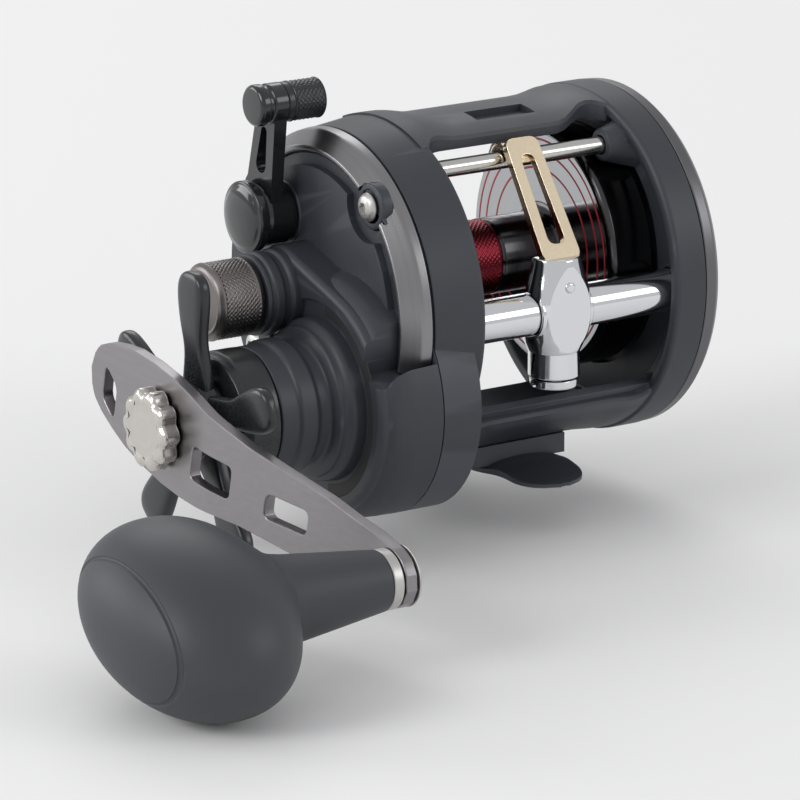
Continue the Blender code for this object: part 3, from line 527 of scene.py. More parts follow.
def make_frame():
    tail = ring_wall([(33.6, 37.8), (33.6, 40.2, 0.4), (26.2, 40.2, 0.9), (25.5, 39.2, 0.6),
            (25.6, 37.4, 0.8), (28.2, 36.2, 0.8), (28.6, 33.2, 0.5), (29.8, 32.8, 0.5), (30.3, 20.0),
            (31.0, 20.0), (31.0, 36.4)])
    head = ring_wall([(-38.2, 35.6), (-38.2, 38.2, 0.3), (-26.2, 39.7, 0.9), (-25.5, 38.9, 0.6),
            (-25.6, 37.0, 0.8), (-28.3, 36.0, 0.8), (-28.5, 20.0), (-31.0, 20.0), (-31.0, 35.6)])
    lobe = prism(circle(DRIVE, CASE_R, 96), -38.2, -28.5)
    lobe_pocket = prism(circle(DRIVE, CASE_R - 2.6, 64), -39.2, -31.0)
    ring_pocket = prism(circle(RING, 35.6, 96), -39.2, -31.0)
    body = join(head, lobe)
    cut(body, lobe_pocket, ring_pocket)
    join(body, tail)
    join(body, bar(72.0, 111.0, 35.6, 38.6, 39.9, 5.0, 5.0, recede=8.0))
    join(body, bar(-34.0, -17.0, 35.6, 39.0, 39.6, 4.0, 4.0, 6))
    join(body, bar(-138.0, -68.0, 35.0, 39.0, 39.6, 4.0, 4.0, 20))
    join(body, arc_sweep([(-27.0, 36.0), (27.0, 36.0), (27.0, 37.6), (-27.0, 37.6)], RING, -142.0, -134.0, 6))
    rod_boss = turned([(30.0, 0.0), (30.0, 6.2), (27.5, 5.4), (23.2, 4.0, 0.8), (21.6, 3.6, 0.6),
            (21.6, 0.0)], ROD, 40)
    join(body, rod_boss)
    join(body, box((-12.0, -16.0, SEAT - 40.6), (12.0, 12.0, SEAT - 36.0)))
    cut(body, rod(-31.5, 31.5, SPOOL_CLEAR, SPOOL, 144))
    cut(body, rod(-32.0, 32.0, GUIDE_ROD.r + FIT, ROD, 40))
    cut(body, rod(-32.0, 32.0, TUBE.r + FIT, WORM, 64))
    cut(body, box((-7.0, -8.2, SEAT + 36.9), (8.6, -2.4, SEAT + 41.0)))
    join(body, prism(hull_of_circles((-29.6, SEAT - 16.0), 2.6, (-31.0, SEAT - 25.6), 3.0, 16), -29.0, -24.6))
    cut(body, rod(-31.5, 31.5, SPOOL_CLEAR, SPOOL, 144))
    soften(body, 0.35, 2, 38.0)
    piece(body, "frame_casting", "frame", "graphite", "frame")
    for index, height in ((1, -22.4), (2, -26.2)):
        stud = turned([(-23.7, 0.0), (-23.7, 1.1, 0.3), (-24.0, 1.5, 0.2), (-26.0, 1.5), (-26.0, 0.0)],
                      (-30.6, SEAT + height), 32)
        piece(stud, f"lug_screw_{index}", "frame", "stainless")


def make_foot():
    """Waisted foot plate, arched over the rod it sits on, with thin curled ends."""
    rows = []
    half = FOOT_BOX.y1
    count = 48
    for i in range(count + 1):
        y = -half + 2 * half * i / count
        from_end = half - abs(y)
        if from_end < 9.0:
            width = math.sqrt(max(0.02, 1.0 - ((9.0 - from_end) / 9.0) ** 2)) * 9.0
        else:
            blend = min(1.0, (from_end - 9.0) / 14.0)
            width = 9.0 + 1.5 * blend * blend * (3 - 2 * blend)
        lift = 1.3 * math.exp(-((abs(y) - 21.0) / 6.0) ** 2)
        crown = 1.2 * (width / 10.5)
        top, under = [], []
        for j in range(17):
            share = -1.0 + j / 8.0
            dome = crown * (1.0 - share * share)
            x = width * share
            under.append((x, y, dome * 0.8 + lift * 0.5))
            top.append((x, y, 0.75 + dome + lift + (0.6 if abs(y) < 17.0 else 0.0) * (1.0 - abs(share) ** 6)))
        rows.append(under + top[::-1])
    foot = loft(rows)
    for screw in ("foot_screw_1", "foot_screw_2"):
        place = Place(screw)
        cut(foot, lathe([(6.0, 0.0), (6.0, 2.7), (-1.0, 2.7), (-1.0, 0.0)], on_z(place.x, place.y), 32))
    piece(foot, "foot_plate", "frame", "graphite", "foot", sharp=40.0)


# Tail side

def make_tail_side():
    x0, x1 = TAIL_RIM.x0, TAIL_RIM.x1
    rim = turned([(x1, 37.6), (x1, 38.7, 0.3), (x1 - 1.5, 40.0, 0.3), (x0 + 0.2, 40.1, 0.15), (x0, 39.9),
                  (x0, 36.0), (x1 - 0.8, 36.0), (x1 - 0.4, 36.6)], RING, 160, ring=True)
    piece(rim, "tail_rim_ring", "frame", "rim_metal", "tail_rim")
    outline = [(38.3, 0.0), (38.3, 11.5, 0.5), (37.6, 12.6, 0.4), (37.2, 25.0, 0.3), (37.9, 25.6, 0.3),
               (37.9, 27.4, 0.3), (37.0, 28.0, 0.3), (36.8, 35.2, 0.4), (34.0, 35.7), (33.9, 0.0)]
    plate = turned(outline, RING, 144)
    join(plate, turned([(41.0, 0.0), (41.0, 7.4, 0.8), (39.6, 8.6, 0.6), (36.0, 8.8), (36.0, 0.0)],
            SPOOL, 64))
    cut(plate, rod(33.0, 37.6, 5.0, SPOOL, 40))
    button = Place("click_button")
    slot = (button.y, button.z)
    outline = [(slot[0] - 1.8, slot[1] - 1.8), (slot[0] + 1.8, slot[1] - 1.8), (slot[0] + 1.8, slot[1] + 5.8),
               (slot[0] - 1.8, slot[1] + 5.8)]
    cut(plate, prism(outline, 33.0, 40.0))
    for index in (1, 2, 3):
        place = Place(f"tail_screw_{index}")
        cut(plate, rod(36.9, 40.0, place.r + 0.35, place.axis, 32))
        cut(plate, rod(35.0, 40.0, 1.8, place.axis, 24))
    soften(plate, 0.25, 2, 40.0)
    piece(plate, "tail_cover", "frame", "graphite", "tail_plate")
    for index in (1, 2, 3):
        place = Place(f"tail_screw_{index}")
        cross_screw(place, 1, f"tail_screw_head_{index}", f"tail_screw_{index}", "stainless")
    cap = turned([(button.x1, 0.0), (button.x1, 2.5, 0.4), (button.x1 - 0.7, 3.1, 0.3), (38.9, 3.1, 0.2),
                  (38.9, 0.0)], button.axis, 48, ripple=lambda x, a,
                 r: r - 0.12 * (1 + math.cos(16 * a)) / 2 if r > 2.9 else r)
    join(cap, rod(33.6, 39.0, 1.4, button.axis, 24))
    piece(cap, "click_button_cap", "clicker", "satin_black", "click_button")


def cross_screw(place, side, name, node, look):
    """Domed screw head with a cross recess. side is +1 where the head points to +X."""
    if side > 0:
        top, seat, end = place.x1, place.x1 - 1.3, place.x0
    else:
        top, seat, end = place.x0, place.x0 + 1.7, place.x1
    r = place.r
    outline = [(top, 0.0), (top + side * -0.12, r * 0.5), (top - side * 0.45, r * 0.86), (seat, r, 0.2),
               (seat, 1.5), (end, 1.5), (end, 0.0)]
    head = turned(outline, place.axis, 48)
    depth = top - side * 0.8
    low, high = min(depth, top + side), max(depth, top + side)
    y, z = place.axis
    for half_y, half_z in ((1.3, 0.28), (0.28, 1.3)):
        cut(head, box((low, y - half_y, z - half_z), (high, y + half_y, z + half_z)))
    soften(head, 0.06, 1, 40.0)
    return piece(head, name, "frame", look, node)


# Gear side

TRIM_START, TRIM_END = 55.0, 195.0
PLATE_X = -43.6
ISLAND_X = -45.3


def make_head_plate():
    end = PLATE_BOX.x0
    seam = PLATE_BOX.x1
    plate = turned([(seam, 0.0), (seam, 38.1, 0.15), (PLATE_X, 38.1, 0.3), (PLATE_X, 0.0)], RING, 160)
    island = prism(sector(RING, 0.6, 30.4, TRIM_START - 40.0, TRIM_END + 30.0, 60), ISLAND_X, -43.0)
    notch = rod(-50.0, PLATE_X, 8.2, Place("head_screw_1").axis, 48)
    cut(island, notch)
    join(plate, island)
    case = turned([(seam, 0.0), (seam, 28.0), (-45.6, 27.8, 1.5), (-49.8, 27.0, 2.6), (-52.2, 24.6, 1.0),
            (-52.2, 0.0)], DRIVE, 128, corner=6)
    teardrop = prism(hull_of_circles(DRIVE, 25.6, SPOOL, 10.2, 48), -53.2, -42.0)
    soften(teardrop, 1.7, 5, 40.0)
    join(plate, case, teardrop)
    cut(plate, rod(-60.0, -52.3, 22.4, DRIVE, 128))
    steps = [(-50.0, 0.0), (-50.0, 18.6), (-55.2, 18.2, 0.8), (-56.4, 16.9, 0.6), (-57.6, 16.9, 0.8),
             (-58.2, 15.4, 0.5), (-58.6, 14.0, 0.6), (-61.5, 13.9, 0.8), (-62.4, 15.2, 0.6),
             (-66.4, 15.2, 0.8), (-67.0, 14.4, 0.3), (end, 14.4, 0.5), (end, 0.0)]
    join(plate, turned(steps, DRIVE, 128))
    boss = [(-50.0, 0.0), (-50.0, 9.6), (-54.6, 9.6, 0.4), (-55.2, 8.9, 0.2), (-56.4, 8.9, 0.2),
            (-57.0, 9.5, 0.4), (-59.0, 9.5, 0.4), (-59.4, 8.9, 0.2), (-60.0, 8.9, 0.2), (-60.2, 9.2, 0.2),
            (-61.1, 9.0, 0.3), (-61.2, 0.0)]
    join(plate, turned(boss, SPOOL, 96))
    join(plate, turned([(-43.0, 0.0), (-43.0, 8.4), (-44.6, 7.8, 0.5), (-45.6, 7.2, 0.3), (-45.6, 0.0)],
            LEVER, 64))
    cut(plate, arc_sweep([(-41.7, 32.9), (-60.0, 32.9), (-60.0, 40.0), (-38.6, 40.0), (-38.6, 36.6),
            (-41.7, 36.6)], RING, TRIM_START - 0.5, TRIM_END + 0.5, 96))
    cut(plate, prism(circle(Place("head_screw_1").axis, 5.5, 40), PLATE_X - 1.0, -41.7))
    for node in ("head_screw_1", "head_screw_2"):
        cut(plate, rod(-60.0, -41.0, 1.8, Place(node).axis, 24))
    cut(plate, rod(end - 1.0, -60.2, 10.1, DRIVE, 64), rod(end - 1.0, -49.0, 3.4, DRIVE, 48))
    cut(plate, rod(-48.0, -38.0, 2.7, LEVER, 32))
    cut(plate, rod(-58.6, -50.0, 5.0, SPOOL, 32))
    cut(plate, prism(hull_of_circles(DRIVE, 18.5, SPOOL, 8.8, 24), -51.0, -38.0))
    cut(plate, prism(circle(RING, 35.6, 64), -40.6, -38.0), prism(circle(DRIVE, 25.4, 64), -40.6, -38.0))
    soften(plate, 0.3, 2, 40.0)
    piece(plate, "gear_case", "frame", "graphite", "head_plate")
    band = arc_sweep([(-52.2, 19.2), (-52.2, 22.2), (-52.42, 22.1), (-52.42, 19.3)], DRIVE, 95.0, 262.0, 80)
    piece(band, "case_band", "frame", "case_band")
    outline = rounded([(BOSS.x1, 3.4), (BOSS.x1, 14.4, 0.4), (-74.0, 14.5, 0.1), (-78.6, 14.5, 0.5),
            (-79.4, 13.9, 0.4), (-80.4, 13.4, 0.3), (BOSS.x0, 12.4, 0.3), (BOSS.x0, 3.4)])
    piece(lathe(outline, on_x(DRIVE), 128, ring=True), "drive_boss", "frame", "satin_black", "bearing_boss")


def make_trim_arc():
    section = rounded([(-42.0, 33.2), (-44.3, 33.2, 0.3), (-45.0, 33.9, 0.3), (-45.0, 34.8, 0.25),
            (-41.2, 38.0, 0.6), (-38.9, 38.3, 0.2), (-38.9, 36.9), (-42.0, 36.9)])
    trim = arc_sweep(section, RING, TRIM_START, TRIM_END, 120)
    place = Place("head_screw_1")
    lug = turned([(-42.0, 0.0), (-42.0, 5.2), (-44.5, 5.2, 0.5), (-44.7, 4.0), (-44.3, 3.7), (-44.3, 0.0)],
                 place.axis, 64)
    foot_of_lug = prism(hull_of_circles(place.axis, 5.1, (place.y - 4.4, place.z + 3.9), 6.4, 24), -44.4,
            -42.0)
    inside = prism(circle(RING, 36.0, 96), -60.0, -30.0)
    foot_of_lug = boolean(foot_of_lug, [inside], "INTERSECT")
    join(lug, foot_of_lug)
    cut(lug, rod(-50.0, -41.0, 1.8, place.axis, 24))
    soften(lug, 0.15, 2, 40.0)
    cut(trim, rod(-60.0, -42.0, 5.3, place.axis, 64))
    soften(trim, 0.15, 2, 40.0)
    piece(trim, "side_trim", "frame", "trim_metal", "trim_arc")
    piece(lug, "trim_lug", "frame", "graphite")
    for index in (1, 2):
        node = f"head_screw_{index}"
        place = Place(node)
        outline = rounded([(place.x0, 0.0), (place.x0 + 0.05, 1.2), (place.x0 + 0.45, 2.5, 0.4),
                (place.x0 + 1.25, 3.2, 0.3), (place.x0 + 1.7, 3.2, 0.1), (place.x0 + 1.7, 1.5),
                (place.x1, 1.5), (place.x1, 0.0)])
        head = lathe(outline, on_x(place.axis), 56)
        hexagon = prism(arc(place.axis, 1.3, 0.0, 300.0, 5), place.x0 - 0.5, place.x0 + 0.9)
        cut(head, hexagon)
        piece(head, f"side_screw_{index}", "frame", "stainless", node)


# Knurled pieces

def knurl(depth, pitch, low, high):
    """Diamond knurl between two places along the axis, as a ripple for lathe."""
    def ripple(x, angle, r):
        edge = min(x - low, high - x)
        if edge < 0.0:
            return r
        teeth = max(8, round(math.tau * r / pitch))
        around = teeth * angle / math.tau
        along = x / pitch
        first = abs(((around + along) % 1.0) - 0.5) * 2.0
        second = abs(((around - along) % 1.0) - 0.5) * 2.0
        return r - depth * (1.0 - min(first, second)) * min(1.0, edge / 0.15)
    return ripple


def fill(x0, x1, step):
    """Places from x0 to x1, no more than a step apart."""
    count = max(1, math.ceil(abs(x1 - x0) / step))
    return [x0 + (x1 - x0) * i / count for i in range(count + 1)]


def make_tension_knob():
    x0, x1, r = TENSION.x0, TENSION.x1, TENSION.r
    low, high = x0 + 1.7, x1 - 1.3
    outline = rounded([(x1, 0.0), (x1, 8.2, 0.3), (high + 0.3, r - 0.1, 0.2), (high + 0.02, r)])
    outline += [(x, r) for x in fill(high, low, 0.22)]
    outline += rounded([(low - 0.02, r - 0.05), (low - 0.35, r - 0.05, 0.1), (x0 + 0.5, r - 0.7, 0.3),
            (x0 + 0.05, 7.2, 0.3), (x0 + 0.4, 6.6, 0.2), (x0 + 0.4, 0.0)])
    teeth = round(math.tau * r / 1.05)
    knob = lathe(outline, on_x(SPOOL), teeth * 5, ripple=knurl(0.36, 1.05, low, high))
    piece(knob, "cast_control_knob", "tension_knob", "knurl_metal", "tension_knob", sharp=70.0)


def make_sleeve():
    x0, x1, r = SLEEVE.x0, SLEEVE.x1, SLEEVE.r
    outline = rounded([(x1, 7.5), (x1, r - 0.1, 0.2), (x1 - 0.3, r)])
    outline += [(x, r) for x in fill(x1 - 0.32, x0 + 0.32, 0.3)]
    outline += rounded([(x0 + 0.3, r), (x0, r - 0.1, 0.2), (x0, 7.5)])
    teeth = round(math.tau * r / 1.2)
    sleeve = lathe(outline, on_x(SPOOL), teeth * 4, ring=True, ripple=knurl(0.34, 1.2, x0 + 0.3, x1 - 0.3))
    piece(sleeve, "red_sleeve", "spool", "red", "arbor_sleeve", sharp=70.0)


def make_lever():
    end_x = -56.4
    grip, r = LEVER_GRIP, LEVER_GRIP.r
    body = turned([(-45.9, 0.0), (-45.9, 6.8, 0.3), (-47.0, 7.2, 0.3), (-52.4, 7.2, 0.3), (-53.4, 6.7, 0.3),
            (-53.4, 0.0)], LEVER, 72)
    blade = prism(hull_of_circles(LEVER, 5.6, LEVER_KNOB, 3.6, 24), -52.5, -49.4)
    rib = prism(hull_of_circles(LEVER, 3.6, LEVER_KNOB, 2.2, 24), -49.6, -48.3)
    top = turned([(-49.3, 0.0), (-49.3, 4.6, 0.2), (-52.6, 4.6, 0.3), (-52.9, 4.1, 0.15), (-53.7, 4.1, 0.15),
                  (-54.0, 4.7, 0.3), (-55.8, 4.7, 0.5), (end_x, 4.0, 0.4), (end_x - 0.15, 0.0)], LEVER_KNOB,
                 72)
    join(body, blade, rib, top)
    middle = ((LEVER[0] + LEVER_KNOB[0]) / 2 - 0.4, (LEVER[1] + LEVER_KNOB[1]) / 2 + 2.2)
    slot = hull_of_circles((middle[0] + 0.7, middle[1] - 3.2), 2.0, (middle[0] - 0.7, middle[1] + 4.4), 1.2,
            16)
    cut(body, prism(slot, -54.0, -47.0))
    cut(body, rod(-60.0, -40.0, 2.7, LEVER, 40))
    soften(body, 0.4, 3, 36.0)
    piece(body, "free_spool_lever", "lever", "gloss", "lever_arm")
    x0, x1, big = CAP.x0, CAP.x1, CAP.r
    cap = turned([(x1, 0.0), (x1, big - 0.3, 0.2), (x1 - 0.4, big, 0.3), (x1 - 2.4, big, 0.5),
                  (x0 + 1.2, big - 0.9, 0.6), (x0 + 0.4, big * 0.72), (x0 + 0.1, big * 0.38), (x0, 0.0)],
                 LEVER, 96, corner=5)
    piece(cap, "lever_hub_cap", "lever", "gloss", "lever_cap")
    low, high = grip.x0 + 2.0, grip.x1 - 0.5
    outline = rounded([(grip.x1, 0.0), (grip.x1, r - 0.7, 0.4), (high + 0.1, r - 0.05, 0.2),
            (high + 0.02, r)])
    outline += [(x, r) for x in fill(high, low, 0.24)]
    outline += rounded([(low - 0.02, r - 0.1), (low - 0.25, r - 0.35, 0.1), (low - 0.5, r - 0.1, 0.2),
            (grip.x0, r - 0.1, 0.2), (grip.x0, 0.0)])
    teeth = round(math.tau * r / 1.1)
    knob = lathe(outline, on_x(LEVER_KNOB), teeth * 5, ripple=knurl(0.36, 1.1, low, high))
    piece(knob, "lever_grip", "lever", "satin_black", "lever_knob", sharp=70.0)


# Star drag

def make_star():
    star = turned([(-80.9, 0.0), (-80.9, 8.2, 0.5), (-82.5, 9.4, 0.8), (-85.8, 8.8, 0.8), (-86.6, 7.0, 0.4),
            (-86.6, 0.0)], DRIVE, 80)
    for index in range(5):
        angle = math.radians(90.0 + 72.0 * index)
        out = Vector((math.cos(angle), math.sin(angle)))
        side = Vector((-out.y, out.x))
        rows = []
        shape = [(5.0, 5.4, -83.9, 1.9), (10.0, 4.6, -83.9, 1.9), (15.0, 3.5, -84.1, 1.7),
                 (19.0, 3.6, -84.6, 1.7), (22.0, 4.3, -84.8, 1.8), (26.0, 5.0, -84.8, 1.9),
                 (29.4, 5.2, -84.8, 1.9), (31.6, 4.6, -84.8, 1.7), (33.0, 3.2, -84.8, 1.3),
                 (33.6, 1.3, -84.8, 0.7)]
        for reach, half, x, thick in shape:
            row = []
            for step in range(20):
                turn = math.tau * step / 20
                u = math.copysign(abs(math.cos(turn)) ** 0.45, math.cos(turn)) * half
                v = math.copysign(abs(math.sin(turn)) ** 0.6, math.sin(turn)) * thick
                place = out * reach + side * u
                row.append((x + v, DRIVE[0] + place.x, DRIVE[1] + place.y))
            rows.append(row)
        join(star, subdivided(loft(rows), 2))
    cut(star, rod(-90.0, -80.0, 3.4, DRIVE, 48))
    piece(star, "star_drag", "star", "satin_black", "star_wheel", sharp=50.0)


def subdivided(obj, levels):
    modifier = obj.modifiers.new("smooth", "SUBSURF")
    modifier.levels = levels
    modifier.render_levels = levels
    return apply(obj)


# Handle

BLADE_T = 2.8
BLADE_FRONT = -92.0


def half_width(along):
    stations = ((-31.0, 0.0), (-30.3, 3.4), (-28.6, 6.2), (-25.0, 8.4), (-20.0, 10.2), (-14.0, 11.8),
                (-6.0, 12.7), (2.0, 12.9), (10.0, 12.4), (18.0, 11.3), (30.0, 9.6), (42.0, 9.0), (54.0, 8.6),
                (62.0, 7.6), (70.0, 6.9), (CRANK.length, 6.6), (CRANK.length + 3.3, 5.7),
                (CRANK.length + 5.7, 3.3), (CRANK.length + 6.6, 0.0))
    for (a, wa), (b, wb) in zip(stations, stations[1:]):
        if along <= b:
            t = (along - a) / (b - a)
            return wa + (wb - wa) * t
    return 0.0


def blade_x(along):
    """Middle of the blade's thickness, with soft bends."""
    def ramp(start, radius):
        d = along - start
        if d <= -radius:
            return 0.0
        if d >= radius:
            return d
        return (d + radius) ** 2 / (4 * radius)
    return BLADE_FRONT + 0.21 * (ramp(18.0, 3.0) - ramp(70.0, 3.0))


def slot_outline(along, across, half_along, half_across, slant, corner):
    """Rounded four-sided slot; slant moves the ends against each other."""
    corners = [(-half_along, -half_across - slant), (half_along, -half_across + slant),
               (half_along, half_across + slant), (-half_along, half_across - slant)]
    corners = [(along + a, across + b, corner) for a, b in corners]
    loop = rounded([corners[-1], *corners, corners[0]], 4)
    return loop[1:-1]


def make_handle():
    """Bent crank blade with three slots, its nut, and the washer and spindle of the grip."""
    forward = (FORWARD.y, FORWARD.z)
    stops = [-31.0 + (CRANK.length + 37.6) * i / 120 for i in range(121)]
    top = [(s, half_width(s)) for s in stops]
    outline = top + [(s, -w) for s, w in reversed(top) if w > 0.001]
    place = Matrix(((1, 0, 0, 0), (0, forward[0], ACROSS.y, DRIVE[0]), (0, forward[1], ACROSS.z, DRIVE[1]),
            (0, 0, 0, 1)))
    half = BLADE_T / 2
    blade = prism(outline, -half, half)
    slots = ((-22.4, -2.4, 2.7, 4.0, -1.5, 1.8), (19.6, -1.6, 6.6, 3.9, 0.4, 1.7),
             (43.2, -0.6, 6.3, 2.9, 0.7, 1.9))
    for along, across, reach, tall, slant, corner in slots:
        cut(blade, prism(slot_outline(along, across, reach, tall, slant, corner), -5.0, 5.0))
    soften(blade, 0.5, 3, 36.0)
    work = bmesh.new()
    work.from_mesh(blade.data)
    bmesh.ops.scale(work, vec=(1 / MM,) * 3, verts=work.verts)
    for along in (13.0, 15.0, 16.0, 17.0, 18.0, 19.0, 20.0, 21.0, 23.0, 66.0, 67.0, 68.0, 69.0, 70.0, 71.0,
                  72.0, 73.0):
        bmesh.ops.bisect_plane(work, geom=[*work.verts, *work.edges, *work.faces], dist=0.0001,
                plane_co=(0.0, along, 0.0), plane_no=(0.0, 1.0, 0.0))
    for vert in work.verts:
        x, along, across = vert.co
        vert.co = place @ Vector((x + blade_x(along), along, across))
    bpy.data.objects.remove(blade, do_unlink=True)
    blade = to_object(work)
    cut(blade, rod(-95.0, -89.0, 3.4, DRIVE, 40), rod(-86.0, -76.0, 2.9, KNOB, 40))
    piece(blade, "crank_blade", "crank", "handle_metal", "handle_arm", sharp=28.0)

    def lobes(x, angle, r):
        if r < 6.8:
            return r
        wave = math.cos(10 * angle)
        return r - 0.75 * (1.0 - wave) / 2 * (1.0 - 0.35 * wave)
    x0, x1 = NUT.x0, NUT.x1
    nut = turned([(x1, 0.0), (x1, 8.6, 0.2), (x1 - 0.5, 9.15, 0.3), (x0 + 0.9, 9.15, 0.4),
                  (x0 + 0.1, 8.1, 0.4), (x0, 6.9, 0.3), (x0 + 0.25, 5.6, 0.4), (x0 + 0.25, 0.0)], DRIVE, 240,
                 ripple=lobes)
    cut(nut, rod(x0 + 1.6, x1 + 1.0, 3.3, DRIVE, 40))
    piece(nut, "scalloped_nut", "crank", "nut_metal", "handle_nut", sharp=40.0)
    washer = turned([(WASHER.x1, 3.0), (WASHER.x1, 6.5, 0.4), (WASHER.x0, 6.5, 0.4), (WASHER.x0, 3.0)], KNOB,
            72, ring=True)
    piece(washer, "grip_washer", "crank", "stainless", "knob_washer")
    spindle = Place("knob_spindle")
    high = spindle.x1
    rivet = turned([(high, 0.0), (high, 4.6, 0.5), (high - 0.9, 5.2, 0.2), (high - 1.0, 6.4, 0.4),
            (high - 1.7, 6.7, 0.3), (high - 1.7, 2.6), (spindle.x0, 2.6, 0.4), (spindle.x0, 0.0)], KNOB, 72)
    piece(rivet, "grip_spindle", "crank", "stainless", "knob_spindle")


def make_grip():
    """Oval rubber grip that narrows into its round stem."""
    centre, half_x, long_r, short_r = -130.8, 19.8, 29.0, 18.2
    stem = ((-85.7, 6.6), (-108.0, 9.4), (-116.0, 11.0), (centre, 12.0))

    def stem_radius(x):
        for (a, ra), (b, rb) in zip(stem, stem[1:]):
            if x >= b:
                return ra + (rb - ra) * (x - a) / (b - a)
        return 0.0

    def blend(a, b, soft):
        h = max(0.0, 1.0 - abs(a - b) / soft)
        return max(a, b) + h * h * soft / 4.0
    stations = []
    groove_at, groove_w = 0.71, 0.020
    for i in range(61):
        phi = math.pi / 2 * i / 60
        scale = math.sin(phi) ** 0.92
        x = centre - half_x * math.cos(phi) ** 0.98
        inside = abs(scale - groove_at) / groove_w
        dip = 0.42 * max(0.0, 1.0 - inside ** 2) if inside < 1.0 else 0.0
        stations.append((x + dip * math.cos(phi), scale - dip * math.sin(phi) / long_r))
    extra = []
    for k in range(-8, 9):
        scale = groove_at + groove_w * 1.1 * k / 8
        phi = math.asin(scale ** (1 / 0.92))
        inside = abs(scale - groove_at) / groove_w
        dip = 0.42 * math.sqrt(max(0.0, 1.0 - inside ** 2))
        extra.append((centre - half_x * math.cos(phi) ** 0.98 + dip * math.cos(phi),
                      scale - dip * math.sin(phi) / long_r))
    clear = [s for i, s in enumerate(stations)
             if abs(math.sin(math.pi / 2 * i / 60) ** 0.92 - groove_at) > groove_w * 1.15]
    front = sorted(clear + extra, key=lambda s: s[1] if s[1] < 0.999 else 1.0)
    rows = []
    steps = 96
    place_y, place_z = KNOB
    for x, scale in front:
        if scale < 0.01:
            continue
        rows.append((x, long_r * scale, short_r * scale))
    back = [centre + (-85.7 - centre) * i / 64 for i in range(1, 65)]
    for x in back:
        t = min(1.0, (x - centre) / half_x)
        scale = math.sqrt(max(0.0, 1.0 - t ** 2.1))
        rows.append((x, blend(long_r * scale, stem_radius(x), 7.0), blend(short_r * scale, stem_radius(x),
                4.0)))
    rings = []
    for x, a, b in rows:
        ring = []
        for step in range(steps):
            angle = math.tau * step / steps
            offset = FORWARD * (a * math.cos(angle)) + ACROSS * (b * math.sin(angle))
            ring.append((x, place_y + offset.y, place_z + offset.z))
        rings.append(ring)
    grip = loft(rings)
    cut(grip, rod(-128.6, -80.0, 3.0, KNOB, 48))
    piece(grip, "rubber_grip", "knob", "rubber", "knob", sharp=45.0)


# Spool

def make_spool():
    r, arbor = SPOOL_BOX.r, 8.8
    inner, outer = 18.0, 29.2
    tail = turned([(outer, 26.8), (outer, r, 0.4), (inner + 1.0, r, 0.6), (inner, r - 1.2, 0.5),
            (inner, arbor + 1.4, 0.8), (inner - 1.2, arbor, 0.5), (2.4, arbor, 0.3), (1.8, arbor - 0.4),
            (1.8, 2.4), (22.0, 2.4), (22.0, 7.0), (19.4, 9.0), (19.4, 26.6)], SPOOL, 144, ring=True)
    head = turned([(-18.0, 2.4), (-18.0, r - 1.2, 0.5), (-19.0, r, 0.6), (-outer, r, 0.4), (-outer, 26.8),
            (-19.4, 26.6), (-19.4, 9.0), (-22.0, 7.0), (-22.0, 2.4)], SPOOL, 144, ring=True)
    core = lathe([(2.4, 2.4), (2.4, 7.2), (-18.4, 7.2), (-18.4, 2.4)], on_x(SPOOL), 64, ring=True)
    join(tail, core, head)
    piece(tail, "spool_body", "spool", "dish_black", "spool", sharp=35.0)
    face = turned([(17.98, 10.6), (17.93, 10.8), (17.93, r - 1.6), (17.98, r - 1.4)], SPOOL, 160, ring=True)
    piece(face, "flange_face", "spool", "mirror_flange")
    rings = []
    for share in (0.90, 0.80, 0.66):
        middle = r * share
        rings.append(lathe([(17.93, middle - 0.28), (17.86, middle - 0.2), (17.86, middle + 0.2),
                (17.93, middle + 0.28)], on_x(SPOOL), 160, ring=True))
    piece(gather(*rings), "flange_lines", "spool", "red_line")
    shaft = Place("spool_shaft")
    piece(rod(shaft.x0, shaft.x1, shaft.r, SPOOL, 40, 0.3), "spool_spindle", "spool", "stainless",
          "spool_shaft")


# Level wind

def make_level_wind():
    guide = rod(GUIDE_ROD.x0, GUIDE_ROD.x1, GUIDE_ROD.r, ROD, 48, 0.2)
    piece(guide, "upper_rod", "frame", "rod_metal", "guide_rod")
    r = TUBE.r
    tube = turned([(TUBE.x1, r - 0.7), (TUBE.x1, r, 0.2), (TUBE.x0, r, 0.2), (TUBE.x0, r - 0.7)], WORM, 96,
                  ring=True)
    cut(tube, box((-22.0, WORM[0] - 1.2, WORM[1] - 6.0), (22.0, WORM[0] + 1.2, WORM[1])))
    piece(tube, "level_wind_tube", "frame", "chrome", "worm_tube")

    def thread(x, angle, radius):
        if radius < 3.2 or abs(x) > 24.0:
            return radius
        groove = 0.0
        for way in (1.0, -1.0):
            turn = (x / 9.0 + way * angle / math.tau) % 1.0
            groove = max(groove, 1.0 - abs(turn - 0.5) / 0.09)
        return radius - 0.8 * max(0.0, min(1.0, groove * 1.6))
    outline = [(30.0, 0.0), (30.0, 3.4)] + [(x, 3.4) for x in fill(29.0, -29.4, 0.35)]
    outline += [(-30.4, 3.4), (-30.4, 1.5), (-34.4, 1.5), (-34.4, 0.0)]
    piece(lathe(outline, on_x(WORM), 64, ripple=thread), "cross_thread_worm", "worm", "brass", "worm_shaft",
          sharp=50.0)


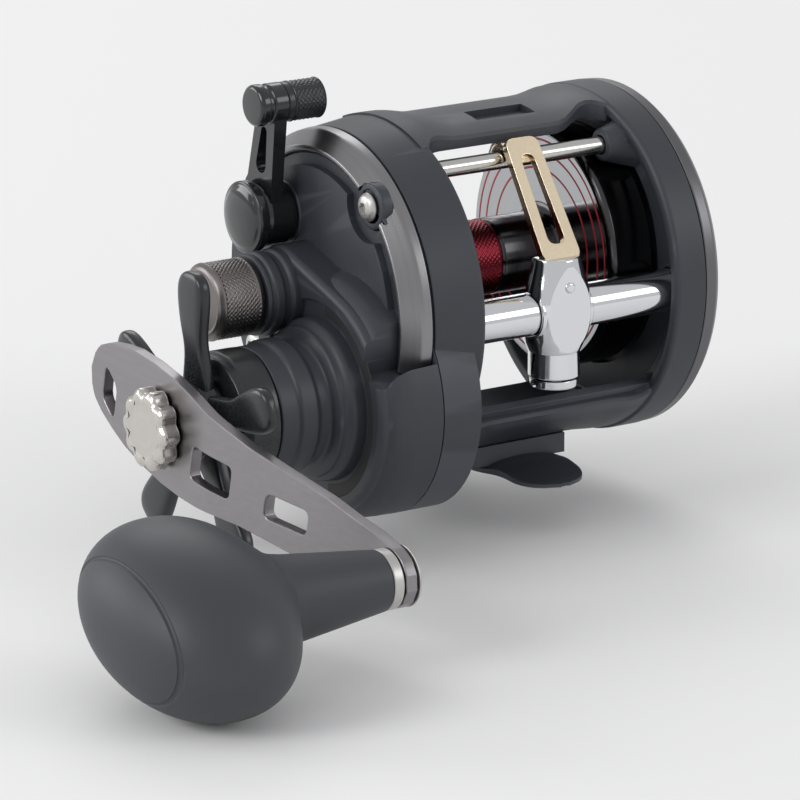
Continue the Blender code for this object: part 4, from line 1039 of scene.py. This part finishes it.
def make_carriage():
    """Leaf-fronted carriage round the tube, with the pawl's barrel and screw cap below."""
    x = CARRIAGE_X
    y, z = WORM
    upright = on_z(x, y)
    body = lathe(rounded([(z + 12.6, 0.0), (z + 12.6, 5.7, 0.5), (z + 9.5, 6.4, 2.0), (z + 4.5, 8.0, 3.0),
            (z - 0.5, 8.4, 3.0), (z - 5.0, 7.7, 2.5), (z - 9.0, 5.9, 0.8), (z - 9.6, 5.5, 0.2),
            (z - 9.6, 0.0)], 6), upright, 96)
    sleeve = rod(x - 6.9, x + 6.9, 5.8, WORM, 72, 0.4)
    barrel = lathe(rounded([(z - 4.0, 0.0), (z - 4.0, 5.8), (z - 15.0, 5.8, 0.4), (z - 15.0, 0.0)]), upright,
            72)
    join(body, sleeve, barrel)
    cut(body, box((x - 12.0, y - 14.0, z - 9.6), (x + 12.0, y - 6.1, z + 14.0)))
    cut(body, box((x - 12.0, y + 0.5, z + 2.0), (x + 12.0, y + 12.0, z + 14.0)))
    cut(body, box((x - 12.0, y + 5.6, z - 20.0), (x + 12.0, y + 14.0, z + 14.0)))
    cut(body, rod(x - 10.0, x + 10.0, TUBE.r + FIT, WORM, 72))
    cut(body, lathe([(z - 4.0, 0.0), (z - 4.0, 3.3), (z - 16.0, 3.3), (z - 16.0, 0.0)], upright, 40))
    soften(body, 0.3, 3, 36.0)
    piece(body, "carriage_body", "carriage", "chrome", "carriage")
    pin = Place("guide_pin")
    head = lathe(rounded([(y - 6.6, 0.0), (y - 6.6, 0.9, 0.3), (y - 6.2, 1.3, 0.2), (pin.y1, 1.3),
            (pin.y1, 0.0)]), on_y(pin.x, pin.z), 32)
    piece(head, "guide_pin_head", "carriage", "chrome", "guide_pin")
    cap = Place("pawl_cap")
    low = cap.z0
    screw_cap = lathe(rounded([(cap.z1, 0.0), (cap.z1, 2.9), (low + 2.1, 2.9), (low + 2.0, 5.5, 0.3),
            (low, 5.3, 0.5), (low, 0.0)]), on_z(x, y), 64)
    cut(screw_cap, box((x - 7.0, y - 0.6, low - 1.0), (x + 7.0, y + 0.6, low + 1.0)))
    soften(screw_cap, 0.12, 2, 40.0)
    piece(screw_cap, "pawl_screw_cap", "carriage", "chrome", "pawl_cap")


GUIDE_TOP = (-16.8, SEAT + 34.8)
GUIDE_FOOT = (-36.4, SEAT + 7.2)


def guide_place():
    """Local X through the plate, local Y along the guide from its foot, local Z across it."""
    up = Vector((0.0, GUIDE_TOP[0] - GUIDE_FOOT[0], GUIDE_TOP[1] - GUIDE_FOOT[1])).normalized()
    through = Vector((0.0, -up.z, up.y))
    matrix = Matrix.Identity(4)
    for row in range(3):
        matrix[row][0] = through[row]
        matrix[row][1] = up[row]
    matrix[0][2] = 1.0
    matrix[2][2] = 0.0
    matrix[0][3] = CARRIAGE_X
    matrix[1][3] = GUIDE_FOOT[0]
    matrix[2][3] = GUIDE_FOOT[1]
    return matrix


def make_line_guide():
    """Slotted guide plate with a clip that hooks over the upper rod."""
    length = 33.6
    top_w, foot_w = 4.3, 5.1

    def loop(inset, low, high, corner):
        slope = (foot_w - top_w) / length
        corners = [(low, foot_w - inset - slope * low), (high, foot_w - inset - slope * high)]
        points = [(corners[0][0], -corners[0][1]), (corners[1][0], -corners[1][1]),
                  (corners[1][0], corners[1][1]), (corners[0][0], corners[0][1])]
        softened = [(along, across, corner) for along, across in points]
        return rounded([softened[-1], *softened, softened[0]], 8)[1:-1]
    guide = prism(loop(0.0, 3.6, length, 2.4), -1.0, 1.0)
    cut(guide, prism(loop(2.7, 7.6, length - 4.2, 2.0), -3.0, 3.0))
    soften(guide, 0.4, 3, 50.0)
    guide.data.transform(Matrix.Scale(1 / MM, 4))
    guide.data.transform(guide_place())
    guide.data.transform(Matrix.Scale(MM, 4))
    inner, outer = GUIDE_ROD.r + 0.5, GUIDE_ROD.r + 2.0
    top = Vector((GUIDE_TOP[0] - ROD[0], GUIDE_TOP[1] - ROD[1]))
    lean = math.degrees(math.atan2(top.y, top.x))
    half = 3.9
    section = rounded([(CARRIAGE_X, inner), (CARRIAGE_X + half, inner, 0.3), (CARRIAGE_X + half, outer, 0.6),
            (CARRIAGE_X - half, outer, 0.6), (CARRIAGE_X - half, inner, 0.3), (CARRIAGE_X - 0.01, inner)])
    clip = arc_sweep(section, ROD, lean - 115.0, lean + 75.0, 40)
    join(guide, clip)
    piece(guide, "gold_line_guide", "carriage", "gold", "line_guide", sharp=35.0)


# CAD nodes that stay

def dress_nodes():
    looks = {"foot_screw_1": "dark_screw", "foot_screw_2": "dark_screw", "roller_bearing": "steel",
             "bridge_plate": "stainless", "worm_gear": "brass", "idler_gear": "brass", "pawl": "brass",
             "spool_bearing_head": "steel", "spool_bearing_tail": "steel", "spool_cog": "brass",
             "click_gear": "brass", "click_tongue": "steel", "pinion": "brass", "yoke": "stainless",
             "yoke_spring_1": "stainless", "yoke_spring_2": "stainless", "lever_shaft": "stainless",
             "drive_shaft": "steel", "main_gear": "brass", "drag_washer_1": "carbon",
             "drag_washer_2": "carbon", "drag_plate_1": "steel", "ratchet": "steel", "dog": "steel",
             "star_spring": "steel"}
    for name, look in looks.items():
        node = NODES[name]
        for index in range(max(1, len(node.material_slots))):
            if not node.material_slots:
                node.data.materials.append(bpy.data.materials[look])
            node.material_slots[index].material = bpy.data.materials[look]


# Stage

def plain_material(name, colour, roughness):
    made = bpy.data.materials.new(name)
    made.use_nodes = True
    shader = made.node_tree.nodes["Principled BSDF"]
    shader.inputs["Base Color"].default_value = (*colour, 1.0)
    shader.inputs["Roughness"].default_value = roughness
    return made


def area_light(name, place, target, size, power):
    data = bpy.data.lights.new(name, "AREA")
    data.shape = "RECTANGLE"
    data.size, data.size_y = size
    data.energy = power
    lamp = bpy.data.objects.new(name, data)
    bpy.context.scene.collection.objects.link(lamp)
    lamp.location = place
    lamp.rotation_euler = (Vector(target) - Vector(place)).to_track_quat("-Z", "Y").to_euler()


def make_stage():
    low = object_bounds()[0]
    bpy.ops.mesh.primitive_circle_add(vertices=96, radius=6.0, fill_type="NGON",
            location=(0.0, 0.0, low.z - 0.0005))
    floor = bpy.context.object
    floor.name = "floor"
    floor.data.materials.append(plain_material("floor", (0.88, 0.88, 0.88), 0.9))
    world = bpy.data.worlds.new("studio")
    bpy.context.scene.world = world
    world.use_nodes = True
    world.node_tree.nodes["Background"].inputs["Color"].default_value = (0.83, 0.83, 0.84, 1.0)
    world.node_tree.nodes["Background"].inputs["Strength"].default_value = 0.76
    target = (0.0, 0.0, SEAT * MM)
    area_light("key", (-2.6, 0.0, 1.4), target, (1.4, 1.2), 26.0)
    area_light("fill", (1.5, -2.0, 1.2), target, (1.4, 1.0), 11.0)
    area_light("back", (0.8, 2.0, 1.8), target, (1.6, 1.0), 11.0)
    area_light("side", (-1.7, 1.9, 0.8), target, (1.4, 1.0), 16.0)


def make_camera():
    data = bpy.data.cameras.new("camera")
    data.lens = 234.0
    data.sensor_width = 36.0
    data.clip_end = 20.0
    camera = bpy.data.objects.new("camera", data)
    bpy.context.scene.collection.objects.link(camera)
    azimuth, elevation = math.radians(33.26), math.radians(16.06)
    ahead = Vector((math.sin(azimuth) * math.cos(elevation), math.cos(azimuth) * math.cos(elevation),
            -math.sin(elevation)))
    camera.location = (-0.6433, -0.9467, 0.3416)
    camera.rotation_euler = ahead.to_track_quat("-Z", "Y").to_euler()
    bpy.context.scene.camera = camera


make_camera()
make_materials()
make_frame()
make_foot()
make_tail_side()
make_head_plate()
make_trim_arc()
make_tension_knob()
make_sleeve()
make_lever()
make_star()
make_handle()
make_grip()
make_spool()
make_level_wind()
make_carriage()
make_line_guide()
dress_nodes()
make_stage()
bpy.context.scene.view_settings.view_transform = "Standard"
